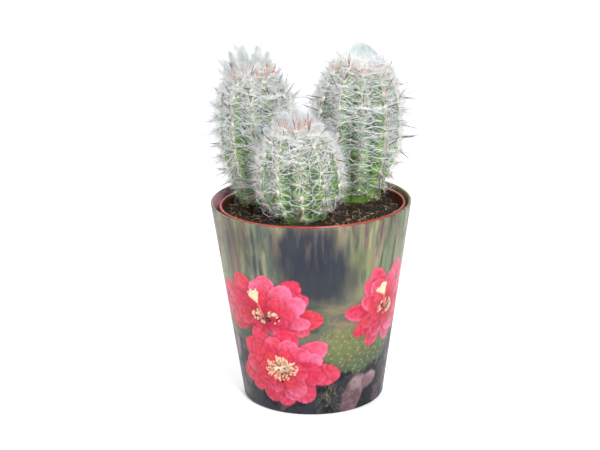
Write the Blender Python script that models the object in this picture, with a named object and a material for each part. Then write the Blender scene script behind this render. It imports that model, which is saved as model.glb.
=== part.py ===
"""A potted cactus: three woolly, ribbed stems growing in a nursery pot, which stands in a
printed cover pot.

Metres, +Z up. The origin is the centre of the cover pot's underside, and -Y is the front.
"""

import math

import bmesh
import bpy
import numpy as np
from mathutils import Matrix, Vector, noise
from mathutils.bvhtree import BVHTree

MM = 0.001
GAP = 0.3 * MM  # between pieces that touch

# Cover pot
POT_HEIGHT = 114.4 * MM
POT_TOP_RADIUS = 56.5 * MM
POT_BASE_RADIUS = 40.0 * MM
POT_WALL = 1.6 * MM
POT_FLOOR = 2.0 * MM
POT_FOOT_ROUNDING = 1.0 * MM
POT_SIDES = 80

# Nursery pot: the 10.5 cm size, whose upper band is stepped out for stacking
NURSERY_CENTRE = Vector((0.8, 0.0)) * MM  # it stands a little off the cover pot's axis
NURSERY_LIP_RADIUS = 52.5 * MM
NURSERY_LIP_WIDTH = 1.5 * MM
NURSERY_LIP_DEPTH = 3.0 * MM
NURSERY_TOP_Z = POT_HEIGHT - 1.7 * MM
NURSERY_BAND_Z = NURSERY_TOP_Z - 10.0 * MM
NURSERY_STEP = 1.5 * MM
NURSERY_BENT_FROM_Z = NURSERY_TOP_Z - 8.0 * MM
NURSERY_RISE_RIGHT, NURSERY_RISE_FRONT = 0.008, 0.030  # slopes of its slightly bent rim
NURSERY_BODY_RADIUS = 49.2 * MM
NURSERY_BASE_RADIUS = 36.2 * MM
NURSERY_WALL = 0.9 * MM
NURSERY_FLOOR_Z = POT_FLOOR + GAP
NURSERY_SIDES = 72
DRAIN_HOLES = 6
DRAIN_RADIUS = 3.5 * MM
DRAIN_CIRCLE = 25.0 * MM
DRAIN_SIDES = 12

# Soil
SOIL_Z = 107.8 * MM
SOIL_EDGE_DROP = 1.2 * MM
SOIL_MOUND = 1.0 * MM
SOIL_MOUND_REACH = 7.0 * MM
SOIL_ROUGHNESS = 0.8 * MM
SOIL_LUMP = 9.0 * MM
SOIL_SIDES = 60
SOIL_TOP_RINGS = 7
HOLLOW_SIDES = 32
HOLLOW_TOP = 8.0 * MM  # over the soil's level

# Stems: where the axis enters the soil, where its tip is, and the outline's shares.
# waist is the radius at the soil as a share of the full one, neck and dome are the shares
# of the height where the stem is full width, and wool is the reach of the crown from the tip.
STEMS = {
    "left": {
        "foot": Vector((-27.5, 19.0, 107.8)) * MM,
        "tip": Vector((-32.5, 23.0, 185.0)) * MM,
        "radius": 19.5 * MM,
        "waist": 0.68,
        "neck": 0.48,
        "dome": 0.62,
        "wool": 13.0 * MM,
        "turn": 0.10,
    },
    "right": {
        "foot": Vector((25.5, 22.0, 107.8)) * MM,
        "tip": Vector((29.5, 26.0, 192.0)) * MM,
        "radius": 22.4 * MM,
        "waist": 0.64,
        "neck": 0.42,
        "dome": 0.52,
        "wool": 18.0 * MM,
        "turn": 0.25,
    },
    "front": {
        "foot": Vector((-4.8, -12.5, 107.8)) * MM,
        "tip": Vector((-8.2, -14.7, 161.5)) * MM,
        "radius": 21.0 * MM,
        "waist": 0.66,
        "neck": 0.38,
        "dome": 0.42,
        "wool": 9.0 * MM,
        "turn": 0.05,
    },
}
RIBS = 11
RIB_DEPTH = 0.075  # half the rib's height, as a share of the stem's radius
RIB_FADE = 9.0 * MM  # the ribs grow out over this height above the soil
COLUMNS_PER_RIB = 4
ROW_STEP = 3.6 * MM
BURIED = 11.0 * MM
BURIED_TAPER = 0.8
DOME_POWER = 2.2

# Crown wool: each tuft's height above the tip, its narrowing, how blunt its end is, and the
# number and depth of its locks
WOOL = {
    "left": {"rise": 16.0 * MM, "spread": 0.82, "bluntness": 3.2, "locks": 7, "depth": 0.16},
    "right": {"rise": 6.5 * MM, "spread": 0.90, "bluntness": 1.8, "locks": 6, "depth": 0.04},
    "front": {"rise": 8.5 * MM, "spread": 0.80, "bluntness": 2.4, "locks": 7, "depth": 0.15},
}
WOOL_COLUMNS = 28
WOOL_THICKNESS = 1.6 * MM
WOOL_LOWER_SHARES = (0.35, 0.7, 1.0)  # rings of the underside, from the tip outwards
WOOL_UPPER_SHARES = (0.3, 0.6, 0.85)  # rings of the upper side, from its rim to its top

# Areoles wind round the stem, AREOLE_PITCH apart along a rib, and each rib's are
# SPIRAL / RIBS of a pitch lower than the rib's before it.
AREOLE_PITCH = 7.6 * MM
FIRST_AREOLE = 0.25  # how many pitches it is below the crown wool
SPIRAL = 5
PAD_RADIUS = 1.6 * MM
PAD_FLATNESS = 0.6
SPINE_INSET = 0.3 * MM
SPINE_LENGTHS = (12.5 * MM, 8.0 * MM, 6.0 * MM, 6.5 * MM, 8.5 * MM)
SHORTEST_SPINE = 2.5 * MM

WHOLE_TURN = 2.0 * math.pi


def clear_scene():
    for thing in list(bpy.data.objects):
        bpy.data.objects.remove(thing)


def material(name, colour, roughness):
    made = bpy.data.materials.new(name)
    made.use_nodes = True
    shader = made.node_tree.nodes["Principled BSDF"]
    shader.inputs["Base Color"].default_value = (*colour, 1.0)
    shader.inputs["Roughness"].default_value = roughness
    made.diffuse_color = (*colour, 1.0)
    return made


def add_object(name, mesh_maker, finish, smooth_below=45.0):
    """A new object from a bmesh, with its faces turned outwards."""
    bmesh.ops.recalc_face_normals(mesh_maker, faces=mesh_maker.faces)
    mesh = bpy.data.meshes.new(name)
    mesh_maker.to_mesh(mesh)
    mesh_maker.free()
    mesh.shade_smooth()
    mesh.set_sharp_from_angle(angle=math.radians(smooth_below))
    mesh.materials.append(finish)
    made = bpy.data.objects.new(name, mesh)
    bpy.context.scene.collection.objects.link(made)
    return made


def arc(centre, radius, start, end, steps):
    """Points (r, z) on an arc, with its angles in degrees."""
    angles = [math.radians(start + (end - start) * step / steps) for step in range(steps + 1)]
    return [
        (centre[0] + radius * math.cos(angle), centre[1] + radius * math.sin(angle))
        for angle in angles
    ]


def turned(profile, sides):
    """A solid turned round Z from a profile that starts and ends on the axis."""
    shape = bmesh.new()
    points = [shape.verts.new((radius, 0.0, height)) for radius, height in profile]
    edges = [shape.edges.new(pair) for pair in zip(points, points[1:])]
    bmesh.ops.spin(
        shape,
        geom=points + edges,
        axis=(0, 0, 1),
        cent=(0, 0, 0),
        steps=sides,
        angle=WHOLE_TURN,
        use_merge=True,
    )
    bmesh.ops.remove_doubles(shape, verts=shape.verts, dist=MM / 1000)
    return shape


def lofted(rings, start, end):
    """A solid through rings of equally many points, closed at a point on each end."""
    shape = bmesh.new()
    loops = [[shape.verts.new(point) for point in ring] for ring in rings]
    for lower, upper in zip(loops, loops[1:]):
        for index in range(len(lower)):
            after = (index + 1) % len(lower)
            shape.faces.new((lower[index], lower[after], upper[after], upper[index]))
    for loop, tip in ((loops[0], shape.verts.new(start)), (loops[-1], shape.verts.new(end))):
        for index in range(len(loop)):
            shape.faces.new((loop[index], loop[(index + 1) % len(loop)], tip))
    return shape


def subtract(target, cutter, name):
    """Cuts a helper out of the target, and leaves the helper out of the build."""
    cutter.hide_render = True
    cutter.display_type = "WIRE"
    modifier = target.modifiers.new(name, "BOOLEAN")
    modifier.operation = "DIFFERENCE"
    modifier.solver = "EXACT"
    modifier.object = cutter


def smooth_share(value):
    """Runs gently from 0 to 1 as the value does."""
    value = min(max(value, 0.0), 1.0)
    return value * value * (3.0 - 2.0 * value)


# ---------------------------------------------------------------- pots


def make_cover_pot():
    slope = (POT_TOP_RADIUS - POT_BASE_RADIUS) / POT_HEIGHT
    foot = POT_FOOT_ROUNDING
    rim = POT_WALL / 2
    inner_base = POT_BASE_RADIUS + slope * POT_FLOOR - POT_WALL
    profile = [(0.0, 0.0)]
    profile += arc((POT_BASE_RADIUS - foot + slope * foot, foot), foot, -90, 0, 3)
    profile += arc((POT_TOP_RADIUS - rim, POT_HEIGHT - rim), rim, 0, 180, 4)
    profile += [(inner_base, POT_FLOOR), (0.0, POT_FLOOR)]
    finish = material("printed_plastic", (0.33, 0.30, 0.22), 0.45)
    add_object("printed_cover_pot", turned(profile, POT_SIDES), finish)


def nursery_inner_radius(height):
    """The nursery pot's inner radius at a height, below and above its step."""
    if height >= NURSERY_BAND_Z:
        return NURSERY_LIP_RADIUS - NURSERY_LIP_WIDTH
    rise = (height - NURSERY_FLOOR_Z) / (NURSERY_BAND_Z - NURSERY_FLOOR_Z)
    body = NURSERY_BASE_RADIUS + (NURSERY_BODY_RADIUS - NURSERY_BASE_RADIUS) * rise
    return body - NURSERY_WALL


def make_nursery_pot():
    lip = NURSERY_LIP_WIDTH / 2
    lip_low = NURSERY_TOP_Z - NURSERY_LIP_DEPTH
    band_outer = NURSERY_LIP_RADIUS - NURSERY_LIP_WIDTH + NURSERY_WALL
    floor_top = NURSERY_FLOOR_Z + NURSERY_WALL
    profile = [
        (0.0, NURSERY_FLOOR_Z),
        (NURSERY_BASE_RADIUS, NURSERY_FLOOR_Z),
        (NURSERY_BODY_RADIUS, NURSERY_BAND_Z - NURSERY_STEP),
        (band_outer, NURSERY_BAND_Z),
        (band_outer, lip_low),
        (NURSERY_LIP_RADIUS, lip_low + lip),
    ]
    profile += arc((NURSERY_LIP_RADIUS - lip, NURSERY_TOP_Z - lip), lip, 0, 180, 4)
    profile += [
        (nursery_inner_radius(NURSERY_BAND_Z), NURSERY_BAND_Z + NURSERY_STEP / 2),
        (
            nursery_inner_radius(NURSERY_BAND_Z - NURSERY_STEP),
            NURSERY_BAND_Z - NURSERY_STEP / 2,
        ),
        (nursery_inner_radius(floor_top), floor_top),
        (0.0, floor_top),
    ]
    pot = add_object(
        "nursery_pot",
        turned(profile, NURSERY_SIDES),
        material("terracotta_plastic", (0.55, 0.13, 0.09), 0.4),
    )
    pot.location.xy = NURSERY_CENTRE
    for point in pot.data.vertices:
        share = (point.co.z - NURSERY_BENT_FROM_Z) / (NURSERY_TOP_Z - NURSERY_BENT_FROM_Z)
        rise = NURSERY_RISE_RIGHT * point.co.x - NURSERY_RISE_FRONT * point.co.y
        point.co.z += max(share, 0.0) * rise
    drills = bmesh.new()
    for index in range(DRAIN_HOLES):
        angle = WHOLE_TURN * index / DRAIN_HOLES
        place = (DRAIN_CIRCLE * math.cos(angle), DRAIN_CIRCLE * math.sin(angle), NURSERY_FLOOR_Z)
        bmesh.ops.create_cone(
            drills,
            cap_ends=True,
            segments=DRAIN_SIDES,
            radius1=DRAIN_RADIUS,
            radius2=DRAIN_RADIUS,
            depth=4 * NURSERY_WALL,
            matrix=Matrix.Translation(place),
        )
    cutter = add_object("drain_drills", drills, pot.data.materials[0])
    cutter.location.xy = NURSERY_CENTRE
    subtract(pot, cutter, "drain_holes")


# ---------------------------------------------------------------- stems


class Stem:
    """The shape of one stem, in its own frame: Z along its axis, from the soil up."""

    def __init__(self, name):
        data = STEMS[name]
        self.name = name
        self.data = data
        axis = data["tip"] - data["foot"]
        self.height = axis.length
        self.rotation = axis.to_track_quat("Z", "Y")
        heights = np.linspace(self.height, -BURIED, 1200)
        radii = np.array([self.outline(height) for height in heights])
        steps = np.hypot(np.diff(heights), np.diff(radii))
        self.lengths = np.concatenate(([0.0], np.cumsum(steps)))
        self.heights, self.radii = heights, radii
        self.soil_length = float(np.interp(0.0, -heights, self.lengths))

    def outline(self, height):
        """The mean radius at a height."""
        data = self.data
        full = data["radius"]
        if height < 0.0:
            return full * data["waist"] * (1.0 + (1.0 - BURIED_TAPER) * height / BURIED)
        share = height / self.height
        neck = data["waist"] + (1.0 - data["waist"]) * smooth_share(share / data["neck"])
        dome = max(share - data["dome"], 0.0) / (1.0 - data["dome"])
        return full * neck * math.sqrt(max(1.0 - dome**DOME_POWER, 0.0))

    def at(self, length):
        """The mean radius and the height at a length down the outline from the tip."""
        radius = float(np.interp(length, self.lengths, self.radii))
        return radius, float(np.interp(length, self.lengths, self.heights))

    def surface(self, length, angle, rib_angle=0.0):
        """The point at a length from the tip and an angle round the axis."""
        radius, height = self.at(length)
        swell = RIB_DEPTH * smooth_share(height / RIB_FADE) * math.cos(RIBS * rib_angle)
        radius *= 1.0 + swell
        return Vector((radius * math.cos(angle), radius * math.sin(angle), height))

    def rib_angle(self, rib):
        return WHOLE_TURN * (rib + self.data["turn"]) / RIBS

    def areole(self, rib, row):
        """Where an areole stands on its rib's crest, and the way it faces."""
        angle = self.rib_angle(rib)
        pitches = row + FIRST_AREOLE + (SPIRAL * rib / RIBS) % 1.0
        length = self.data["wool"] + AREOLE_PITCH * pitches
        place = self.surface(length, angle)
        along = self.surface(length - MM, angle) - self.surface(length + MM, angle)
        around = Vector((-math.sin(angle), math.cos(angle), 0.0))
        facing = around.cross(along).normalized()
        return place, facing, along.normalized()


def make_stem(stem, finish):
    columns = RIBS * COLUMNS_PER_RIB
    total = stem.lengths[-1]
    rows = round(total / ROW_STEP)
    rings = []
    for row in range(1, rows + 1):
        ring = []
        for column in range(columns):
            rib_angle = WHOLE_TURN * column / columns
            angle = rib_angle + stem.rib_angle(0)
            ring.append(stem.surface(total * row / rows, angle, rib_angle))
        rings.append(ring)
    shape = lofted(rings, (0, 0, stem.height), (0, 0, -BURIED))
    made = add_object(stem.name + "_stem", shape, finish, smooth_below=60.0)
    made.location = stem.data["foot"]
    made.rotation_mode = "QUATERNION"
    made.rotation_quaternion = stem.rotation
    return made


def make_crown_wool(stem, parent, finish):
    """A tuft over the stem's tip: an upper side in locks, and an underside along the dome."""
    style = WOOL[stem.name]
    reach = stem.data["wool"]
    rim_radius, rim_height = stem.at(reach)
    crest = 1.0 + RIB_DEPTH
    top = stem.height + style["rise"]
    angles = [WHOLE_TURN * column / WOOL_COLUMNS for column in range(WOOL_COLUMNS)]

    def ring(radius, height, lock):
        points = []
        for angle in angles:
            wave = math.cos(style["locks"] * angle + stem.data["turn"])
            out = radius * (1.0 + lock * style["depth"] * wave)
            rise = height + lock * style["depth"] * style["rise"] * wave
            points.append((out * math.cos(angle), out * math.sin(angle), rise))
        return points

    rings = []
    for share in WOOL_LOWER_SHARES:
        radius, height = stem.at(reach * share)
        rings.append(ring(radius * crest, height + 2 * GAP, 0.0))
    full = rim_radius * crest + WOOL_THICKNESS / 2
    rings.append(ring(full, rim_height + WOOL_THICKNESS, 0.0))
    for share in WOOL_UPPER_SHARES:
        narrowing = 1.0 + (style["spread"] - 1.0) * share
        narrowing *= math.sqrt(1.0 - share ** style["bluntness"])
        height = rim_height + WOOL_THICKNESS + (top - rim_height - WOOL_THICKNESS) * share
        rings.append(ring(full * narrowing, height, share))
    shape = lofted(rings, (0, 0, stem.height + 2 * GAP), (0, 0, top))
    made = add_object(stem.name + "_crown_wool", shape, finish)
    made.parent = parent
    return made


def spine_cluster_shape(lengths):
    """A flattened woolly pad whose five upper faces each carry a spine."""
    shape = bmesh.new()
    flattening = Matrix.Diagonal((1.0, 1.0, PAD_FLATNESS, 1.0))
    bmesh.ops.create_icosphere(shape, subdivisions=1, radius=PAD_RADIUS, matrix=flattening)
    highest = max(shape.verts, key=lambda vert: vert.co.z)
    tops = sorted(highest.link_faces, key=lambda face: math.atan2(*face.calc_center_median().xy))
    for face, length in zip(tops, lengths):
        if length < SHORTEST_SPINE:
            continue
        bmesh.ops.inset_individual(shape, faces=[face], thickness=SPINE_INSET, depth=0.0)
        bmesh.ops.poke(shape, faces=[face], offset=length)
    return shape


def spine_directions():
    shape = spine_cluster_shape([0.0] * len(SPINE_LENGTHS))
    highest = max(shape.verts, key=lambda vert: vert.co.z)
    tops = sorted(highest.link_faces, key=lambda face: math.atan2(*face.calc_center_median().xy))
    for face in tops:
        face.normal_update()
    directions = [face.normal.copy() for face in tops]
    shape.free()
    return directions


def make_spine_cluster(stem, parent, rib, finish, neighbours):
    place, facing, along = stem.areole(rib, 0)
    across = along.cross(facing)
    turn = Matrix((across, along, facing)).transposed()
    place = place + facing * (PAD_RADIUS * PAD_FLATNESS + 2 * GAP)
    to_world = parent.matrix_world @ Matrix.LocRotScale(place, turn.to_quaternion(), None)
    lengths = []
    for direction, longest in zip(spine_directions(), SPINE_LENGTHS):
        way = (to_world.to_3x3() @ direction).normalized()
        room = longest
        for tree in neighbours:
            hit = tree.ray_cast(to_world.translation, way, longest + PAD_RADIUS)
            if hit[0] is not None:
                room = min(room, hit[3] - PAD_RADIUS)
        lengths.append(room)
    name = f"{stem.name}_spines_{rib + 1:02d}"
    made = add_object(name, spine_cluster_shape(lengths), finish, smooth_below=30.0)
    made.parent = parent
    made.matrix_local = Matrix.LocRotScale(place, turn.to_quaternion(), None)
    return made


# ---------------------------------------------------------------- soil


def soil_height(place, stems):
    """The soil's uneven top: mounded a little round each stem and lower at the wall."""
    rise = SOIL_ROUGHNESS * noise.noise(Vector((place.x, place.y, 0.0)) / SOIL_LUMP)
    for stem in stems:
        foot = stem.data["foot"]
        away = (Vector((foot.x, foot.y)) - place).length - stem.outline(0.0)
        rise += SOIL_MOUND * math.exp(-((max(away, 0.0) / SOIL_MOUND_REACH) ** 2))
    edge = (place - NURSERY_CENTRE).length / nursery_inner_radius(SOIL_Z)
    return SOIL_Z + rise - SOIL_EDGE_DROP * edge**6


def make_soil(stems):
    def level(radius, height):
        angles = [WHOLE_TURN * side / SOIL_SIDES for side in range(SOIL_SIDES)]
        return [Vector((radius * math.cos(a), radius * math.sin(a), height)) for a in angles]

    floor = NURSERY_FLOOR_Z + NURSERY_WALL + GAP
    step_low = NURSERY_BAND_Z - NURSERY_STEP / 2
    step_high = NURSERY_BAND_Z + NURSERY_STEP
    rings = [
        level(nursery_inner_radius(floor) - 2 * GAP, floor),
        level(nursery_inner_radius(step_low) - 2 * GAP, step_low),
        level(nursery_inner_radius(step_high) - 2 * GAP, step_high),
    ]
    outer = nursery_inner_radius(SOIL_Z) - 2 * GAP
    for index in range(SOIL_TOP_RINGS):
        ring = level(outer * (1.0 - index / SOIL_TOP_RINGS), 0.0)
        for point in ring:
            point.z = soil_height(point.xy + NURSERY_CENTRE, stems)
        rings.append(ring)
    middle = Vector((0.0, 0.0, soil_height(NURSERY_CENTRE, stems)))
    shape = lofted(rings, (0, 0, floor), middle)
    made = add_object("soil", shape, material("peat", (0.035, 0.02, 0.014), 0.95))
    made.location.xy = NURSERY_CENTRE
    return made


def cut_planting_hollow(soil, stem):
    """A hollow that follows the buried base of the stem, with the gap all round."""
    crest = 1.0 + RIB_DEPTH
    rings = []
    for height in (-BURIED - GAP, -BURIED / 2, 0.0, HOLLOW_TOP / 2, HOLLOW_TOP):
        radius = stem.outline(max(height, -BURIED)) * crest + GAP
        rings.append(
            [
                (radius * math.cos(angle), radius * math.sin(angle), height)
                for angle in np.linspace(0.0, WHOLE_TURN, HOLLOW_SIDES, endpoint=False)
            ]
        )
    shape = lofted(rings, (0, 0, -BURIED - GAP), (0, 0, HOLLOW_TOP))
    cutter = add_object(stem.name + "_hollow_cutter", shape, soil.data.materials[0])
    cutter.location = stem.data["foot"]
    cutter.rotation_mode = "QUATERNION"
    cutter.rotation_quaternion = stem.rotation
    subtract(soil, cutter, stem.name + "_hollow")


def main():
    clear_scene()
    make_cover_pot()
    make_nursery_pot()
    stems = [Stem(name) for name in STEMS]
    soil = make_soil(stems)
    skin = material("cactus_skin", (0.10, 0.22, 0.07), 0.5)
    wool = material("cactus_wool", (0.85, 0.85, 0.80), 0.9)
    spine = material("cactus_spines", (0.45, 0.20, 0.10), 0.45)
    bodies = {}
    for stem in stems:
        cut_planting_hollow(soil, stem)
        bodies[stem.name] = make_stem(stem, skin)
    bpy.context.view_layer.update()
    trees = {}
    for name, body in bodies.items():
        shape = bmesh.new()
        shape.from_mesh(body.data)
        shape.transform(body.matrix_world)
        trees[name] = BVHTree.FromBMesh(shape)
        shape.free()
    for stem in stems:
        body = bodies[stem.name]
        make_crown_wool(stem, body, wool)
        others = [tree for name, tree in trees.items() if name != stem.name]
        for rib in range(RIBS):
            make_spine_cluster(stem, body, rib, spine, others)


main()
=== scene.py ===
"""The potted cactus's looks: skin, wool, spines, soil, the nursery pot's plastic and the
cover pot's print. Metres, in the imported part's own frame.
"""

import itertools
import math

import bmesh
import bpy
import numpy as np
from mathutils import Matrix, Vector


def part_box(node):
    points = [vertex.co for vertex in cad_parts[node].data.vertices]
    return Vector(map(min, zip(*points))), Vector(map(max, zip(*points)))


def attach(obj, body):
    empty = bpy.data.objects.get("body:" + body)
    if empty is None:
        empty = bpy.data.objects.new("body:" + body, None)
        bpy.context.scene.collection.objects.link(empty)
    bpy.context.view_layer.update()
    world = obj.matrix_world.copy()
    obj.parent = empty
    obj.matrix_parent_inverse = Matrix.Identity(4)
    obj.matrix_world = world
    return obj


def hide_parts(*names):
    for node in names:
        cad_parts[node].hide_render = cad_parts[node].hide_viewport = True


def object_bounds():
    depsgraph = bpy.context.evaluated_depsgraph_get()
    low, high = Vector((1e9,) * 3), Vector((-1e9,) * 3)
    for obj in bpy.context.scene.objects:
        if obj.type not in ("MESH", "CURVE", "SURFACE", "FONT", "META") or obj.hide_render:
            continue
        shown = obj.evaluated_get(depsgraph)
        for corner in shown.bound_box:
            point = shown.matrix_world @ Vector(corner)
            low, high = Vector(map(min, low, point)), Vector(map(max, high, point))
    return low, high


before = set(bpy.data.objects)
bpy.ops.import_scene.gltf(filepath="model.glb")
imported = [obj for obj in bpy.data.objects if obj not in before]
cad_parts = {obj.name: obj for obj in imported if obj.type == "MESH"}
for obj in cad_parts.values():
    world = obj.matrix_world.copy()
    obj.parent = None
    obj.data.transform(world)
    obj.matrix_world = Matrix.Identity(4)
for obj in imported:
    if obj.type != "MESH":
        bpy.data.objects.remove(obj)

MM = 0.001
TURN = 2.0 * math.pi
CAD_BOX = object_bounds()

# Each stem: where its axis enters the soil, its tip, radius and wool's reach, in millimetres,
# and its outline's shares, as the frame has them. Then its hair: loose ones to an areole,
# their least and greatest length, the locks, and how bare its foot is, 0 to 1. Last its young
# spines: how many, their least and greatest length, and the shares of the wool's reach
# between which they stand
STEMS = {
    "left": dict(
        foot=(-27.5, 19.0, 107.8), tip=(-32.5, 23.0, 185.0), radius=19.5, wool=13.0,
        waist=0.68, neck=0.48, dome=0.62, turn=0.10,
        loose=25, reach=(7.5, 17.5), locks=100, bare=0.2, young=(110, 4.0, 9.0, 0.66, 1.10),
    ),
    "right": dict(
        foot=(25.5, 22.0, 107.8), tip=(29.5, 26.0, 192.0), radius=22.4, wool=18.0,
        waist=0.64, neck=0.42, dome=0.52, turn=0.25,
        loose=20, reach=(7.5, 17.5), locks=120, bare=0.9, young=(120, 2.0, 4.6, 0.82, 1.20),
    ),
    "front": dict(
        foot=(-4.8, -12.5, 107.8), tip=(-8.2, -14.7, 161.5), radius=21.0, wool=9.0,
        waist=0.66, neck=0.38, dome=0.42, turn=0.05,
        loose=15, reach=(4.5, 10.0), locks=54, bare=0.7, young=(84, 4.0, 8.5, 0.45, 1.15),
    ),
}  # fmt: skip
RIBS = 11
RIB_DEPTH = 0.075
RIB_FADE = 9.0 * MM
WART_DEPTH = 0.035
BURIED = 11.0 * MM
BURIED_TAPER = 0.8
DOME_POWER = 2.2
AREOLE_PITCH = 7.6 * MM
FIRST_AREOLE = 0.25
SPIRAL = 5

POT_HEIGHT = 114.4 * MM
NURSERY_X = 0.8 * MM  # the nursery pot and its soil stand this far to the right
NURSERY_RIM_Z = 112.7 * MM
NURSERY_RISE_RIGHT, NURSERY_RISE_FRONT = 0.008, 0.030  # slopes of its bent rim
NURSERY_BORE = 51.25 * MM  # the lip's inner radius
SOIL_Z = 107.8 * MM
SOIL_RADIUS = 50.7 * MM
SOIL_FOOT_RADIUS, SOIL_SHOULDER_RADIUS = 35.0 * MM, 47.4 * MM
SOIL_SHOULDER_Z, SOIL_EDGE_Z = 102.0 * MM, 104.6 * MM
STRAY_LIMIT = 11.0 * MM  # no strand reaches further than this out of the frame's box
CLEARANCE = 0.2 * MM  # between strands or crumbs and what they pass
BANDS = 64  # strands and crumbs take their colours from this many bands of the map


# ---- shared helpers


def smooth_share(value):
    """Runs gently from 0 to 1 as the value does."""
    value = np.clip(value, 0.0, 1.0)
    return value * value * (3.0 - 2.0 * value)


def value_noise(places, seed=0):
    """Smooth noise from 0 to 1 at places (n, 3), with one cell to the unit."""
    cell = np.floor(places).astype(np.int64)
    share = smooth_share(places - cell)
    total = np.zeros(len(places))
    for corner in itertools.product((0, 1), repeat=3):
        key = (cell + corner) @ np.array([73856093, 19349663, 83492791]) + seed * 2654435761
        key = (key ^ (key >> 13)) * 1274126177
        key = (key ^ (key >> 16)) & 0xFFFFFF
        weight = np.prod(np.where(corner, share, 1.0 - share), axis=1)
        total += weight * key / 0xFFFFFF
    return total


def rough_noise(places, seed=0, octaves=3):
    """Layers of value noise, each at twice the detail, from 0 to 1."""
    total, weight, amount = 0.0, 0.0, 1.0
    for octave in range(octaves):
        total = total + amount * value_noise(places * 2.0**octave, seed + octave)
        weight += amount
        amount *= 0.5
    return total / weight


def unit(vectors):
    return vectors / np.maximum(np.linalg.norm(vectors, axis=-1, keepdims=True), 1e-12)


def linear(red, green, blue):
    """A linear colour from a display colour of 0 to 255."""
    shares = np.array([red, green, blue]) / 255.0
    return np.where(shares <= 0.04045, shares / 12.92, ((shares + 0.055) / 1.055) ** 2.4)


class Shape:
    """Corners and faces gathered into one mesh, with a bake map of its own."""

    def __init__(self):
        self.points, self.faces, self.maps = [], [], []
        self.count = 0

    def add(self, points, faces, uvs):
        """Points (n, 3), faces (m, corners) and their map places (m, corners, 2)."""
        self.points.append(points.reshape(-1, 3))
        for face_group, map_group in zip(faces, uvs):
            self.faces.append(face_group + self.count)
            self.maps.append(map_group)
        self.count += len(self.points[-1])

    def add_copies(self, points, faces, maps, bands):
        """Copies (n, k, 3) of one shape's points, each with its map in its own band."""
        starts = np.arange(len(points))[:, None, None] * points.shape[1]
        placed = [np.repeat(group[None], len(points), axis=0) for group in maps]
        for group in placed:
            group[..., 1] = (bands[:, None, None] + 0.1 + 0.8 * group[..., 1]) / BANDS
        grown = [(group + starts).reshape(-1, group.shape[1]) for group in faces]
        self.add(points, grown, [group.reshape(-1, *group.shape[2:]) for group in placed])

    def mesh(self, name):
        made = bpy.data.meshes.new(name)
        points = np.concatenate(self.points)
        made.vertices.add(len(points))
        made.vertices.foreach_set("co", points.astype(np.float32).ravel())
        sizes = np.concatenate([np.full(len(group), group.shape[1]) for group in self.faces])
        corners = np.concatenate([group.ravel() for group in self.faces])
        starts = np.concatenate(([0], np.cumsum(sizes)[:-1]))
        made.loops.add(len(corners))
        made.loops.foreach_set("vertex_index", corners.astype(np.int32))
        made.polygons.add(len(sizes))
        made.polygons.foreach_set("loop_start", starts.astype(np.int32))
        made.update(calc_edges=True)
        layer = made.uv_layers.new(name="OFBake")
        places = np.concatenate([group.reshape(-1, 2) for group in self.maps])
        layer.data.foreach_set("uv", places.astype(np.float32).ravel())
        made.shade_smooth()
        return made


def show(name, shape, finish, replaced=()):
    """A new visible piece, from a shape or a mesh, which rides with the whole part."""
    mesh = shape.mesh(name) if isinstance(shape, Shape) else shape
    made = bpy.data.objects.new(name, mesh)
    bpy.context.scene.collection.objects.link(made)
    mesh.materials.clear()
    mesh.materials.append(finish)
    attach(made, "root")
    if replaced:
        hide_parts(*replaced)


def lofted(rings, heights, start, end):
    """A closed shape through rings (n, columns, 3); heights places each ring in the map."""
    count, columns = rings.shape[:2]
    index = np.arange(count * columns).reshape(count, columns)
    after = np.roll(index, -1, axis=1)
    sides = np.stack([index[:-1], after[:-1], after[1:], index[1:]], axis=-1).reshape(-1, 4)
    bottom = np.stack([after[0], index[0], np.full(columns, count * columns)], axis=-1)
    top = np.stack([index[-1], after[-1], np.full(columns, count * columns + 1)], axis=-1)
    left = np.arange(columns) / columns
    right = left + 1.0 / columns
    middle = (left + right) / 2
    low, high = heights[:-1, None], heights[1:, None]

    def placed(*corners):
        pairs = [np.stack(np.broadcast_arrays(*corner), axis=-1) for corner in corners]
        return np.stack(pairs, axis=-2).reshape(-1, len(corners), 2)

    maps = [
        placed((left, low), (right, low), (right, high), (left, high)),
        placed((right, heights[0]), (left, heights[0]), (middle, 0.0)),
        placed((left, heights[-1]), (right, heights[-1]), (middle, 1.0)),
    ]
    shape = Shape()
    shape.add(np.concatenate([rings.reshape(-1, 3), [start, end]]), [sides, bottom, top], maps)
    return shape


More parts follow.
